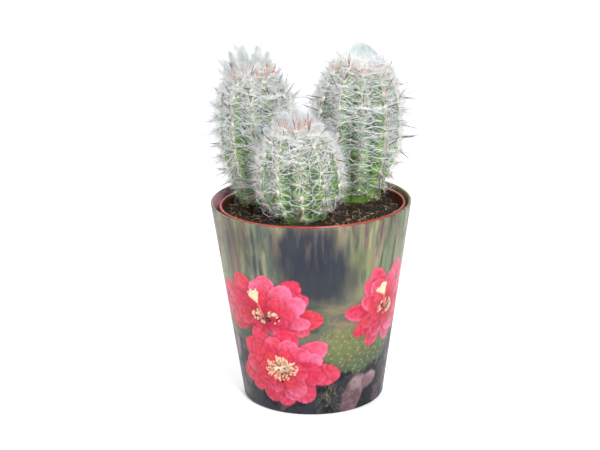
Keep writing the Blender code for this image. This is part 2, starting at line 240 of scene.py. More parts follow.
def add_strands(shape, paths, radii, bands, sides=3):
    """Closed tapering tubes along paths (n, k, 3). The map runs along each in its band."""
    count, steps = paths.shape[:2]
    tangents = unit(np.gradient(paths, axis=1))
    overall = paths[:, -1] - paths[:, 0]
    helper = np.eye(3)[np.argmin(np.abs(overall), axis=1)][:, None, :]
    side = unit(np.cross(tangents, helper))
    other = np.cross(tangents, side)
    ring = np.arange(sides)
    turns = (TURN * ring / sides)[:, None]
    spread = np.cos(turns) * side[:, :-1, None] + np.sin(turns) * other[:, :-1, None]
    rings = paths[:, :-1, None] + radii[:, :-1, None, None] * spread
    points = np.concatenate([rings.reshape(count, -1, 3), paths[:, -1:]], axis=1)
    following = (ring + 1) % sides
    quads, quad_map = [], []
    for step in range(steps - 2):
        low, high = step * sides, (step + 1) * sides
        quads.append(np.stack([low + ring, low + following, high + following, high + ring], -1))
        start, end = step / (steps - 1), (step + 1) / (steps - 1)
        quad_map += [[(start, 0), (start, 1), (end, 1), (end, 0)]] * sides
    last, tip = high, (steps - 1) * sides
    triangles = [np.stack([last + ring, last + following, np.full(sides, tip)], -1)]
    triangle_map = [[(end, 0), (end, 1), (1.0, 0.5)]] * sides
    for corner in range(1, sides - 1):
        triangles.append(np.array([[0, corner + 1, corner]]))
        triangle_map.append([(0, 0), (0.02, 0.5), (0, 1)])
    faces = [np.concatenate(quads), np.concatenate(triangles)]
    shape.add_copies(points, faces, [np.array(quad_map), np.array(triangle_map)], bands)


def add_lumps(shape, centres, axes, bands, subdivisions, roughness, seed):
    """Uneven lumps: axes (n, 3, 3) are each one's half-lengths along three directions."""
    ball = bmesh.new()
    bmesh.ops.create_icosphere(ball, subdivisions=subdivisions, radius=1.0)
    points = np.array([vert.co[:] for vert in ball.verts])
    faces = np.array([[vert.index for vert in face.verts] for face in ball.faces])
    ball.free()
    count = len(centres)
    shift = np.random.default_rng(seed).uniform(0, 50, (count, 1, 3))
    bumps = value_noise((points * 1.6 + shift).reshape(-1, 3), seed).reshape(count, -1, 1)
    grown = points * (1.0 + roughness * (bumps - 0.5))
    world = np.einsum("nvk,nkc->nvc", grown, axes) + centres[:, None]
    shape.add_copies(world, [faces], [points[faces][..., :2] * 0.5 + 0.5], bands)


class Finish:
    """A material's node tree, with short ways to add to it."""

    def __init__(self, name, roughness=0.5, **settings):
        self.material = bpy.data.materials.new(name)
        self.material.use_nodes = True
        self.tree = self.material.node_tree
        self.shader = self.tree.nodes["Principled BSDF"]
        self.shader.inputs["Roughness"].default_value = roughness
        for socket, value in settings.items():
            self.shader.inputs[socket.replace("_", " ")].default_value = value

    def put(self, socket, value):
        if isinstance(value, bpy.types.NodeSocket):
            self.tree.links.new(value, socket)
        elif socket.type == "RGBA":
            socket.default_value = (*value, 1.0)
        else:
            socket.default_value = value

    def node(self, kind, *values, **settings):
        made = self.tree.nodes.new("ShaderNode" + kind)
        for name, value in settings.items():
            setattr(made, name, value)
        for socket, value in zip(made.inputs, values):
            if value is not None:
                self.put(socket, value)
        return made

    def math(self, operation, first, second=None):
        return self.node("Math", first, second, operation=operation).outputs[0]

    def times(self, first, second):
        return self.math("MULTIPLY", first, second)

    def share(self, value, low, high, to_low=0.0, to_high=1.0):
        made = self.node("MapRange", value, low, high, to_low, to_high)
        made.interpolation_type = "SMOOTHSTEP"
        return made.outputs[0]

    def mix(self, factor, first, second, blend="MIX"):
        made = self.tree.nodes.new("ShaderNodeMix")
        made.data_type, made.blend_type = "RGBA", blend
        for socket, value in zip((made.inputs[0], *made.inputs[6:8]), (factor, first, second)):
            self.put(socket, value)
        return made.outputs[2]

    def dimmed(self, colour, level):
        """A colour times a level."""
        grey = self.node("CombineXYZ", level, level, level).outputs[0]
        return self.mix(1.0, colour, grey, blend="MULTIPLY")

    def ramp(self, factor, stops):
        """A colour ramp; each stop is its place and a display colour."""
        made = self.node("ValToRGB", factor)
        elements = made.color_ramp.elements
        while len(elements) < len(stops):
            elements.new(1.0)
        for element, (place, *colour) in zip(elements, stops):
            element.position = place
            element.color = (*linear(*colour), 1.0)
        return made.outputs[0]

    def object_place(self):
        return self.node("TexCoord").outputs["Object"]

    def texture(self, kind, vector, **settings):
        made = self.node(kind)
        self.put(made.inputs["Vector"], vector)
        for name, value in settings.items():
            made.inputs[name].default_value = value
        return made.outputs[0]

    def noise(self, vector, scale, detail=3.0, roughness=0.55):
        return self.texture("TexNoise", vector, Scale=scale, Detail=detail, Roughness=roughness)

    def cells(self, vector, scale):
        return self.texture("TexVoronoi", vector, Scale=scale)

    def attribute(self, name):
        return self.node("Attribute", attribute_name=name)

    def band(self):
        """The place along a strand, and a number of its own for each band."""
        parts = self.node("SeparateXYZ", self.node("UVMap", uv_map="OFBake").outputs[0])
        number = self.math("FLOOR", self.times(parts.outputs[1], float(BANDS)))
        return parts.outputs[0], number

    def chance(self, number, shift=0.0):
        shifted = self.math("ADD", number, shift)
        return self.node("TexWhiteNoise", None, shifted, noise_dimensions="1D").outputs[0]

    def colour(self, value):
        self.put(self.shader.inputs["Base Color"], value)

    def rough(self, value):
        self.put(self.shader.inputs["Roughness"], value)

    def bump(self, height, distance, strength=1.0):
        made = self.node("Bump", strength, distance)
        self.put(made.inputs["Height"], height)
        self.put(self.shader.inputs["Normal"], made.outputs[0])


# ---- the stems' shape


class Stem:
    """One stem, by the length down its outline from the tip and the angle round it."""

    def __init__(self, name):
        data = STEMS[name]
        self.name, self.data = name, data
        foot, tip = Vector(data["foot"]) * MM, Vector(data["tip"]) * MM
        axis = tip - foot
        self.height = axis.length
        self.foot = np.array(foot)
        self.turned = np.array(axis.to_track_quat("Z", "Y").to_matrix())
        self.heights = np.linspace(self.height, -BURIED, 1200)
        self.radii = self.outline(self.heights)
        steps = np.hypot(np.diff(self.heights), np.diff(self.radii))
        self.lengths = np.concatenate(([0.0], np.cumsum(steps)))
        self.soil_length = float(np.interp(0.0, -self.heights, self.lengths))
        self.wool = data["wool"] * MM
        self.first_rib = TURN * data["turn"] / RIBS
        self.waist = float(self.outline(0.0))
        self.top = self.surface(0.0, 0.0)
        self.others = []

    def outline(self, height):
        """The mean radius at a height over the soil."""
        data = self.data
        share = np.clip(height / self.height, 0.0, 1.0)
        neck = data["waist"] + (1.0 - data["waist"]) * smooth_share(share / data["neck"])
        dome = np.clip((share - data["dome"]) / (1.0 - data["dome"]), 0.0, 1.0)
        above = data["radius"] * MM * neck * np.sqrt(1.0 - dome**DOME_POWER)
        depth = np.clip(-height / BURIED, 0.0, 1.0)
        return above * (1.0 - (1.0 - BURIED_TAPER) * depth)

    def relief(self, length, angle, height):
        """How far ribs and warts stand out, as a share of the radius, and the crests' share."""
        rib_angle = angle - self.first_rib
        crest = np.abs(np.cos(RIBS * rib_angle / 2.0)) ** 0.9
        wave = (length - self.wool) / AREOLE_PITCH - FIRST_AREOLE
        wart = 0.5 + 0.5 * np.cos(TURN * wave - SPIRAL * rib_angle)
        grown = smooth_share(height / RIB_FADE)
        relief = RIB_DEPTH * (2.0 * crest - 1.0) + WART_DEPTH * crest**2 * (2.0 * wart - 1.0)
        return grown * relief, crest * (0.55 + 0.45 * wart)

    def surface(self, length, angle):
        """World points of the skin."""
        radius = np.interp(length, self.lengths, self.radii)
        height = np.interp(length, self.lengths, self.heights)
        radius = radius * (1.0 + self.relief(length, angle, height)[0])
        local = np.stack([radius * np.cos(angle), radius * np.sin(angle), height], axis=-1)
        return local @ self.turned.T + self.foot

    def frame(self, length, angle):
        """Points of the skin with their directions across, towards the tip and outwards."""
        step = 0.8 * MM
        place = self.surface(length, angle)
        along = unit(self.surface(length - step, angle) - self.surface(length + step, angle))
        radius = np.maximum(np.interp(length, self.lengths, self.radii), MM)
        turn = step / radius
        around = unit(self.surface(length, angle + turn) - self.surface(length, angle - turn))
        return place, around, along, unit(np.cross(around, along))

    def areoles(self):
        """Lengths and angles of every areole below the crown, and how old each is, 0 to 1."""
        ribs, rows = np.meshgrid(np.arange(RIBS), np.arange(-1, 18), indexing="ij")
        pitches = rows + FIRST_AREOLE + (SPIRAL * ribs / RIBS) % 1.0
        lengths = self.wool + AREOLE_PITCH * pitches
        angles = self.first_rib + TURN * ribs / RIBS
        keep = (lengths > 0.55 * self.wool) & (lengths < self.soil_length - 2.5 * MM)
        ages = (lengths - self.wool) / (self.soil_length - self.wool)
        return lengths[keep], angles[keep], np.clip(ages[keep], 0.0, 1.0)

    def holds(self, places):
        """Which world points lie inside the stem."""
        local = (places - self.foot) @ self.turned
        radius = np.hypot(local[..., 0], local[..., 1])
        inside = (local[..., 2] > -BURIED) & (local[..., 2] < self.height)
        return inside & (radius < self.outline(local[..., 2]) * (1.0 + RIB_DEPTH))


def soil_height(x, y, stems):
    """The soil's crumbly top, mounded a little round each stem and lower at the wall."""
    flat = np.stack([x, y, np.zeros_like(x)], axis=-1).reshape(-1, 3)
    lumps = rough_noise(flat / (7.0 * MM), seed=3, octaves=4).reshape(x.shape) - 0.5
    rise = 3.2 * MM * lumps
    for stem in stems:
        away = np.hypot(x - stem.foot[0], y - stem.foot[1]) - stem.waist
        rise = rise + 1.0 * MM * np.exp(-((np.maximum(away, 0.0) / (7.0 * MM)) ** 2))
    edge = np.hypot(x - NURSERY_X, y) / SOIL_RADIUS
    return SOIL_Z + rise - 1.2 * MM * edge**6


def clear_of(paths, stem):
    """Which strands stay near the part, and out of the other stems, soil and pots' walls."""
    low, high = np.array(CAD_BOX)
    clear = ((paths > low - STRAY_LIMIT) & (paths < high + STRAY_LIMIT)).all(axis=(1, 2))
    for other in stem.others:
        clear &= ~other.holds(paths).any(axis=1)
    outward = np.hypot(paths[..., 0] - NURSERY_X, paths[..., 1])
    least = np.where(outward < SOIL_RADIUS - MM, SOIL_Z + CLEARANCE, POT_HEIGHT + CLEARANCE)
    return clear & ~(paths[..., 2] < least).any(axis=1)


# ---- materials of the plant


def skin_finish(name):
    """Blotched green, with painted shade between the ribs, fresh green low down with a painted
    highlight along its crests, and corky at the soil.
    """
    made = Finish(name, roughness=0.45)
    place = made.object_place()
    crest = made.attribute("crest").outputs["Fac"]
    age = made.attribute("age").outputs["Fac"]
    blotch = made.noise(place, 180.0, detail=4.0)
    green = made.ramp(blotch, [(0.30, 54, 82, 34), (0.52, 78, 112, 48), (0.72, 106, 140, 70)])
    # painted shade: the furrows between the ribs are darkened towards a deep green
    valley_painted_shade = made.mix(0.82, green, linear(20, 40, 16))
    green = made.mix(made.share(crest, 0.0, 0.75), valley_painted_shade, green)
    lush = made.share(age, 0.5, 0.9)
    # real fresh green low down, with a painted highlight on its crests and painted shade in its
    # furrows
    lush_green_crest_highlight = made.mix(made.share(crest, 0.1, 0.9), linear(70, 118, 24), linear(122, 172, 64))
    green = made.mix(made.times(lush, 0.85), green, lush_green_crest_highlight)
    dots = made.share(made.cells(place, 1500.0), 0.10, 0.32, 1.0, 0.0)
    green = made.mix(made.times(dots, 0.30), green, linear(140, 164, 108))
    cork = made.math("ADD", age, made.times(made.noise(place, 320.0), 0.16))
    cork = made.share(cork, 1.04, 1.12)
    made.colour(made.mix(cork, green, linear(110, 92, 56)))
    made.rough(made.share(blotch, 0.3, 0.7, 0.34, 0.52))
    grain = made.noise(place, 1400.0, detail=2.0)
    made.bump(made.math("ADD", grain, made.times(dots, 0.5)), 0.12 * MM, 0.6)
    return made.material


def strand_finish(name, young, old=None, roughness=0.45, vary=0.2, **settings):
    """A colour that runs along each strand. Bands over half way take the old colours."""
    made = Finish(name, roughness=roughness, **settings)
    along, number = made.band()
    colour = made.ramp(along, young)
    if old:
        is_old = made.math("GREATER_THAN", number, BANDS / 2 - 0.5)
        colour = made.mix(is_old, colour, made.ramp(along, old))
    level = made.share(made.chance(number), 0.0, 1.0, 1.0 - vary, 1.0 + vary * 0.5)
    made.colour(made.dimmed(colour, level))
    made.rough(made.share(made.chance(number, 31.0), 0.0, 1.0, roughness, roughness + 0.2))
    return made.material


# ---- pieces of the plant

# Radii of the strands in millimetres
STIFF_SPINE, FINE_SPINE, FUZZ, FIBRE = 0.25, 0.11, 0.065, 0.11
COAT_HAIR, STRAY_HAIR, LOOSE_HAIR, LOCK_HAIR = 0.078, 0.05, 0.068, 0.085
CROWN_HAIR, COLLAR_HAIR, END_HAIR = 0.072, 0.055, 0.05


def make_skin(stem):
    """The ribbed skin, with the share of a crest and the age at each of its points."""
    columns, rows = RIBS * 18, 190
    name = stem.name + "_skin"
    shares = np.linspace(0.0, 1.0, rows + 1)[1:]
    lengths = stem.lengths[-1] * shares[:, None] * np.ones(columns)
    angles = TURN * np.arange(columns) / columns * np.ones((rows, 1))
    base = stem.turned @ np.array([0.0, 0.0, -BURIED]) + stem.foot
    rings = stem.surface(lengths, angles)[::-1]
    mesh = lofted(rings, np.linspace(0.01, 0.99, rows), base, stem.top).mesh(name)
    crest = stem.relief(lengths, angles, np.interp(lengths, stem.lengths, stem.heights))[1]
    for what, values in (("crest", crest), ("age", lengths / stem.soil_length)):
        layer = mesh.attributes.new(what, "FLOAT", "POINT")
        ends = [0.0, float(values[0].mean())]
        layer.data.foreach_set("value", np.concatenate([values[::-1].ravel(), ends]))
    show(name, mesh, skin_finish(name), [stem.name + "_stem"])


def fan_out(outward, around, along, lean, spin):
    """Directions that lean from outwards by an angle, spun round the areole."""
    flat = np.cos(spin)[..., None] * around + np.sin(spin)[..., None] * along
    return np.cos(lean)[..., None] * outward + np.sin(lean)[..., None] * flat


def rays(start, way, size, steps, bend=0.0):
    """Paths that leave start the given way, size long, and bend more and more."""
    share = np.linspace(0.0, 1.0, steps)[:, None]
    return start[..., None, :] + way[..., None, :] * size * share + bend * size * share**2


def make_pads(stem, finish, seed):
    """The small felt pads of the areoles, under their fuzz."""
    rng = np.random.default_rng(seed)
    lengths, angles, ages = stem.areoles()
    place, around, along, outward = stem.frame(lengths, angles)
    pads, each, steps = len(ages), 34, 4
    size = (1.15 - 0.3 * ages + rng.uniform(-0.15, 0.2, pads))[:, None] * MM
    axes = np.stack([around * size, along * size * 1.2, outward * size * 0.7], axis=1)
    centres = place + outward * size * 0.2
    shape = Shape()
    add_lumps(shape, centres, axes, rng.integers(0, BANDS, pads), 2, 0.35, seed)
    lean = np.arccos(rng.uniform(0.12, 1.0, (pads, each)))
    spin = rng.uniform(0.0, TURN, (pads, each))
    way = fan_out(outward[:, None], around[:, None], along[:, None], lean, spin)
    start = centres[:, None] + way * size[:, None] * 0.6
    long = rng.uniform(0.9, 2.4, (pads, each, 1, 1)) * MM
    paths = rays(start, way, long, steps, rng.normal(0.0, 0.35, (pads, each, 1, 3)))
    radii = np.full((pads * each, 1), FUZZ * MM) * np.array([1.0, 0.9, 0.6, 0.2])
    bands = rng.integers(0, BANDS, pads * each)
    add_strands(shape, paths.reshape(-1, steps, 3), radii, bands)
    show(stem.name + "_areoles", shape, finish)


def spine_paths(stem, lengths, angles, scale, count, tilt, long, rng, steps=5):
    """Near-straight spines that fan out evenly from the pads, count for each areole."""
    place, around, along, outward = stem.frame(lengths, angles)
    each = len(lengths), count
    spin = TURN * (np.arange(count) + rng.uniform(-0.4, 0.4, each)) / count
    lean = np.radians(90.0 - rng.uniform(*tilt, each))
    way = fan_out(outward[:, None], around[:, None], along[:, None], lean, spin)
    size = rng.uniform(*long, (*each, 1, 1)) * scale[:, None, None, None] * MM
    sag = outward[:, None, None] * rng.uniform(0.4, 1.3, (*each, 1, 1)) * 0.12
    bend = rng.normal(0.0, 0.03, (*each, 1, 3)) - sag
    start = (place + outward * 0.6 * MM)[:, None] + way * 0.4 * MM
    return rays(start, way, size, steps, bend).reshape(-1, steps, 3)


def taper(count, steps, thick, rng, power=1.2, least=0.12):
    """Radii that thin towards the tip, a little different for each strand."""
    share = np.linspace(0.0, 1.0, steps)
    profile = least + (1.0 - least) * (1.0 - share**power)
    return thick * MM * rng.uniform(0.75, 1.25, (count, 1)) * profile


def add_clear(shape, stem, paths, thick, rng, power=1.2, least=0.12):
    """Tapering strands in random bands, leaving out those that would hit something."""
    paths = paths[clear_of(paths, stem)]
    radii = taper(len(paths), paths.shape[1], thick, rng, power, least)
    add_strands(shape, paths, radii, rng.integers(0, BANDS, len(paths)))


def make_radials(stem, finish, seed):
    """The fine pale spines that spread from each areole over the skin."""
    rng = np.random.default_rng(seed)
    lengths, angles, ages = stem.areoles()
    kept = rng.random(len(ages)) < 1.0 - stem.data["bare"] * ages**3
    lengths, angles, scale = lengths[kept], angles[kept], 1.0 - 0.4 * ages[kept] ** 2
    shape = Shape()
    for count, tilt, long in ((14, (3, 24), (5.0, 9.5)), (6, (22, 60), (4.5, 8.5))):
        paths = spine_paths(stem, lengths, angles, scale, count, tilt, long, rng)
        add_clear(shape, stem, paths, FINE_SPINE, rng)
    show(stem.name + "_radial_spines", shape, finish)


def make_centrals(stem, finish, seed):
    """The long stiff red-brown spines, and the young ones that ring the crown."""
    rng = np.random.default_rng(seed)
    lengths, angles, ages = stem.areoles()
    shape = Shape()
    count = rng.choice([0, 1, 1, 1, 2], len(ages))
    place, around, along, outward = (rows.repeat(count, 0) for rows in stem.frame(lengths, angles))
    ages = ages.repeat(count)
    up = rng.normal(0.05 + 0.25 * (1.0 - ages) ** 2, 0.36)[:, None]
    across = rng.normal(0.0, 0.36, (len(ages), 1))
    way = unit(outward + along * up + around * across)
    size = rng.uniform(9.0, 16.0, len(ages)) * np.where(ages < 0.12, 0.6, 1.0) * MM
    bend = rng.normal(0.0, 0.045, (len(ages), 1, 3))
    paths = rays(place + outward * 0.5 * MM, way, size[:, None, None], 7, bend)
    clear = clear_of(paths, stem)
    radii = taper(len(paths), 7, STIFF_SPINE, rng, power=1.6)
    bands = BANDS // 2 + rng.integers(0, BANDS // 2, len(paths))
    add_strands(shape, paths[clear], radii[clear], bands[clear], sides=6)

    amount, low, high, near, far = stem.data["young"]
    length = stem.wool * rng.uniform(near, far, amount)
    place, _, _, outward = stem.frame(length, rng.uniform(0.0, TURN, amount))
    axis = stem.turned[:, 2]
    way = unit(outward * 0.7 + axis * 0.7 + rng.normal(0.0, 0.20, (amount, 3)))
    paths = rays(place, way, rng.uniform(low, high, (amount, 1, 1)) * MM, 6)
    radii = taper(amount, 6, STIFF_SPINE, rng)
    add_strands(shape, paths, radii, rng.integers(0, BANDS // 2, amount), sides=5)
    nodes = [f"{stem.name}_spines_{rib + 1:02d}" for rib in range(RIBS)]
    show(stem.name + "_central_spines", shape, finish, nodes)


def hair_paths(stem, count, rng, long, lift, curl=0.42, level=0.3, steps=10):
    """Soft hairs that leave the areoles and wander over the skin."""
    lengths, angles, ages = stem.areoles()
    weight = 0.03 + 0.25 * (1.0 - stem.data["bare"]) + (1.0 - ages) ** 1.15
    chosen = rng.choice(len(lengths), count, p=weight / weight.sum())
    size = rng.uniform(*long, count) * MM
    heading = rng.uniform(0.0, TURN, count)
    sideways = math.pi * rng.integers(0, 2, count) + rng.normal(0.0, 0.4, count)
    heading = np.where(rng.random(count) < level, sideways, heading)
    share = np.linspace(0.0, 1.0, steps)
    swing = rng.normal(0.0, 0.9 * curl, (count, 1)) * share
    wave = rng.normal(0.0, 0.5 * curl, (count, 1)) * np.sin(
        TURN * (rng.uniform(0.6, 1.6, (count, 1)) * share + rng.random((count, 1)))
    )
    direction = heading[:, None] + swing + wave
    stride = size[:, None] / (steps - 1)
    across = np.cumsum(np.cos(direction) * stride, axis=1)
    down = np.cumsum(np.sin(direction) * stride, axis=1)
    length = np.maximum(lengths[chosen][:, None] + down, 0.6 * MM)
    radius = np.maximum(np.interp(length, stem.lengths, stem.radii), 4.0 * MM)
    angle = angles[chosen][:, None] + across / radius
    top = rng.uniform(*lift, (count, 1)) * MM
    rise = 0.5 * MM + top * np.sin(np.minimum(share * 1.25, 1.0) * math.pi / 2) ** 1.2
    place, _, _, outward = stem.frame(length, angle)
    return place + outward * rise[..., None]


def wavy(paths, amount, rng):
    """Paths with a gentle wave that grows along them."""
    count, steps = paths.shape[:2]
    share = np.linspace(0.0, 1.0, steps)[:, None]
    phase = share * rng.uniform(0.8, 2.0, (count, 1, 1)) + rng.random((count, 1, 1))
    return paths + np.sin(TURN * phase) * rng.normal(0.0, amount, (count, 1, 3)) * MM * share


def standing_paths(stem, lengths, angles, rng, long, lean, steps=7):
    """Loose hairs that stand off the skin and lean towards the tip by a share."""
    place, _, _, outward = stem.frame(lengths, angles)
    count = len(lengths)
    way = outward * (1.0 - lean) + stem.turned[:, 2] * lean
    way = unit(way + rng.normal(0.0, 0.34, (count, 3)))
    size = rng.uniform(*long, (count, 1, 1)) * MM
    return wavy(rays(place, way, size, steps, rng.normal(0.0, 0.26, (count, 1, 3))), 0.4, rng)


def make_hair(stem, finish, fine, seed):
    """Long white hairs: many close to the skin, locks of them, and some astray round it."""
    rng = np.random.default_rng(seed)
    lengths, angles, ages = stem.areoles()
    areoles = len(ages)
    coat, halo = Shape(), Shape()
    near = hair_paths(stem, areoles * 8, rng, long=(9.0, 23.0), lift=(0.5, 3.8))
    stray = hair_paths(stem, areoles * 5, rng, long=(10.0, 23.0), lift=(2.8, 8.0))
    weight = (0.3 + ages) * np.maximum(0.92 - ages, 0.0)
    chosen = rng.choice(areoles, areoles * stem.data["loose"], p=weight / weight.sum())
    loose = standing_paths(stem, lengths[chosen], angles[chosen], rng, stem.data["reach"], 0.1)
    add_clear(coat, stem, near, COAT_HAIR, rng, power=2.5)
    add_clear(halo, stem, stray, STRAY_HAIR, rng, power=2.5)
    add_clear(halo, stem, loose, LOOSE_HAIR, rng, power=2.5)
    # curved locks, and straighter hairs in pairs
    for strands, curl, tight, longest, more in ((4, 0.13, 0.22, 24, 1.0), (2, 0.07, 0.06, 27, 1.5)):
        number = int(stem.data["locks"] * more)
        locks = hair_paths(stem, number, rng, (10, longest), (1.8, 5.5), curl, level=0.6)
        locks = locks[clear_of(locks, stem)]
        spread = rng.normal(0.0, tight, (len(locks), strands, 1, 3)) * MM
        opening = 1.0 + 3.5 * np.linspace(0.0, 1.0, locks.shape[1])[:, None] ** 2
        bundle = (locks[:, None] + spread * opening).reshape(-1, locks.shape[1], 3)
        radii = taper(len(bundle), bundle.shape[1], LOCK_HAIR, rng, power=2.5)
        add_strands(coat, bundle, radii, rng.integers(0, BANDS, len(bundle)))
    show(stem.name + "_hair", coat, finish)
    show(stem.name + "_stray_hair", halo, fine)


# The locks of each crown's wool: where each ends to the right of the tip, behind it and over
# it, and how thick it is, all in millimetres
LOCKS = {
    "left": [
        (-10.5, 0, 18, 2.2), (-6.5, 3, 13.5, 2.6), (0.5, 2, 17.5, 0.9), (7, 0, 17.5, 1.5),
        (10.5, 4, 10, 2.4), (-3, -3, 11, 2.6), (3, -2, 10.5, 2.6), (-14, 2, 12, 2.2),
        (-18, 0, 8, 2.0), (-22, 2, 9, 1.6), (13, -2, 7, 2.0), (4, 8, 13, 2.6), (-5, 9, 14, 2.6),
        (-22, -4, 3, 1.8), (0, -6, 7, 2.4), (8, -5, 8, 2.2), (-9, -6, 9, 2.2), (11, 9, 8, 2.2),
        (-13, 9, 9, 2.2), (16, 3, 3, 1.8),
    ],
    "front": [
        (-2, 0, 11, 1.8), (1, 2, 9, 1.8), (-5, -1, 7, 2.0), (5, 0, 6.5, 2.2), (9, 2, 5, 2.4),
        (-9, 1, 5.5, 2.2), (12, -2, 2, 2.4), (-13, 0, 1, 2.0), (3, -4, 5, 2.0), (-3, -5, 5, 2.0),
        (0, 6, 7, 2.4), (7, 7, 5, 2.4), (-7, 6, 6, 2.4), (15, 2, -1, 2.2), (-11, 6, 3, 2.2),
    ],
}  # fmt: skip
CAP_TOP_RADIUS, CAP_BASE_RADIUS, CAP_RISE = 5.0, 17.5, 6.2  # the right crown's cap


def drawn_together(start, middle, end, share, rng, wave):
    """Slightly wavy curves from start by way of middle to end, at shares (n, k, 1) of each."""
    curve = (1 - share) ** 2 * start[:, None] + 2 * share * (1 - share) * middle[:, None]
    return wavy(curve + share**2 * end[:, None], wave, rng)


def lock_paths(stem, rng, steps=9):
    """Strands that leave the dome together and draw to a point."""
    locks = []
    for right, back, rise, thick in LOCKS[stem.name]:
        count = int(24 * thick**1.5)
        reach = min(0.6 * math.hypot(right, back) * MM, stem.wool)
        length = np.abs(reach + rng.normal(0.0, 0.9 * thick, count) * MM)
        angle = math.atan2(*(stem.turned.T @ (right, back, 0.0))[1::-1])
        angle = angle + rng.normal(0.0, 0.8 * thick, count) * MM / np.maximum(reach, 3.0 * MM)
        start, _, _, outward = stem.frame(length, angle)
        end = stem.top + np.array([right, back, 1.1 * rise]) * MM
        end = end + rng.normal(0.0, 0.30 * thick, (count, 3)) * MM
        middle = (start + end) / 2 + outward * 0.8 * MM + rng.normal(0.0, 0.35, (count, 3)) * MM
        middle[:, 2] += 0.12 * rise * MM
        share = np.linspace(0.0, 1.0, steps)[:, None] * rng.uniform(0.65, 1.0, (count, 1, 1))
        locks.append((start, middle, end, share))
    return drawn_together(*(np.concatenate(parts) for parts in zip(*locks)), rng, 0.34)


def cap_paths(stem, rng, count=4200, steps=8):
    """Smooth wool that draws together into a blunt cone over the tip, lower at its right."""
    axis = stem.turned[:, 2]
    angle = rng.uniform(0.0, TURN, count)
    toward = stem.turned.T @ (1.0, 0.0, 0.0)
    reach = 16.5 + 4.0 * np.cos(angle - math.atan2(toward[1], toward[0]))
    length = reach * MM * np.sqrt(rng.uniform(0.0, 1.0, count))
    start, _, _, outward = stem.frame(length, angle)
    offset = start - stem.top
    sideways = offset - (offset @ axis)[:, None] * axis
    share = np.linalg.norm(sideways, axis=1) / (CAP_BASE_RADIUS * MM)
    rise = CAP_RISE * (1.0 - 0.45 * np.minimum(share, 1.1) ** 3)
    narrow = CAP_TOP_RADIUS / CAP_BASE_RADIUS * rng.uniform(0.6, 1.25, count)
    end = stem.top + sideways * narrow[:, None] + axis * rise[:, None] * MM
    end = end + rng.normal(0.0, 0.3, (count, 3)) * MM
    middle = (start + end) / 2 + outward * 1.0 * MM
    share = np.linspace(0.0, 1.0, steps)[:, None] * rng.uniform(0.7, 1.0, (count, 1, 1))
    return drawn_together(start, middle, end, share, rng, 0.32)


def loose_ends(paths, count, rng, long, steps=5):
    """Short hairs that leave other strands part of the way up and stray from them."""
    chosen = rng.integers(0, len(paths), count)
    step = rng.integers(2, paths.shape[1] - 1, count)
    start = paths[chosen, step]
    way = unit(unit(paths[chosen, step + 1] - start) + rng.normal(0.0, 0.55, (count, 3)))
    size = rng.uniform(*long, (count, 1, 1)) * MM
    return rays(start, way, size, steps, rng.normal(0.0, 0.2, (count, 1, 3)))


def make_crown(stem, finish, seed):
    """Wool that rises from the growing tip."""
    rng = np.random.default_rng(seed)
    shape = Shape()
    shaped = lock_paths(stem, rng) if stem.name in LOCKS else cap_paths(stem, rng)
    ring = stem.wool * rng.uniform(0.7, 1.6, 340)
    collar = standing_paths(stem, ring, rng.uniform(0.0, TURN, 340), rng, (3.0, 8.5), 0.4)
    loose = loose_ends(shaped, 800, rng, (1.5, 5.5))
    for paths, thick in ((shaped, CROWN_HAIR), (collar, COLLAR_HAIR), (loose, END_HAIR)):
        add_clear(shape, stem, paths, thick, rng, power=2.2, least=0.3)
    show(stem.name + "_crown", shape, finish, [stem.name + "_crown_wool"])


# ---- soil


def round_rings(radii, heights, columns, x=0.0):
    """Rings (n, columns, 3) round an upright axis at x."""
    angles = TURN * np.arange(columns) / columns
    across, back = radii[:, None] * np.cos(angles), radii[:, None] * np.sin(angles)
    return np.stack(np.broadcast_arrays(x + across, back, heights[:, None]), axis=-1)


def make_soil(stems):
    """The soil's closed body under its crumbly top, with fine crumbs as bumps and colours."""
    columns, rows = 300, 84
    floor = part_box("soil")[0].z
    top = np.linspace(SOIL_RADIUS, 0.6 * MM, rows)
    radii = np.concatenate([[SOIL_FOOT_RADIUS, SOIL_SHOULDER_RADIUS, SOIL_RADIUS], top])
    levels = np.concatenate([[floor, SOIL_SHOULDER_Z, SOIL_EDGE_Z], np.zeros(rows)])
    rings = round_rings(radii, levels, columns, NURSERY_X)
    rings[3:, :, 2] = soil_height(rings[3:, :, 0], rings[3:, :, 1], stems)
    heights = np.concatenate([[0.02, 0.15, 0.2], np.linspace(0.22, 0.99, rows)])
    middle = soil_height(np.array([NURSERY_X]), np.zeros(1), stems)[0]
    shape = lofted(rings, heights, (NURSERY_X, 0.0, floor), (NURSERY_X, 0.0, middle))
    made = Finish("peat", roughness=0.9)
    place = made.object_place()
    coarse = made.noise(place, 480.0, detail=6.0, roughness=0.72)
    colour = made.ramp(
        coarse, [(0.38, 6, 5, 4), (0.52, 24, 17, 12), (0.62, 64, 46, 29), (0.74, 138, 112, 72)]
    )
    specks = made.share(made.cells(place, 800.0), 0.05, 0.16, 1.0, 0.0)
    rare = made.share(made.noise(place, 260.0, detail=1.0), 0.60, 0.68)
    made.colour(made.mix(made.times(specks, rare), colour, linear(176, 156, 108)))
    made.bump(made.noise(place, 900.0, detail=5.0, roughness=0.75), 0.9 * MM)
    show("soil_bed", shape, made.material, ["soil"])


def scattered(count, rng, stems):
    """Random places on the soil that miss the stems."""
    radius = (SOIL_RADIUS - 0.8 * MM) * np.sqrt(rng.random(count * 2))
    angle = rng.uniform(0.0, TURN, count * 2)
    x, y = NURSERY_X + radius * np.cos(angle), radius * np.sin(angle)
    free = np.ones(len(x), bool)
    for stem in stems:
        free &= np.hypot(x - stem.foot[0], y - stem.foot[1]) > stem.waist + CLEARANCE
    x, y = x[free][:count], y[free][:count]
    return np.stack([x, y, soil_height(x, y, stems)], axis=-1)


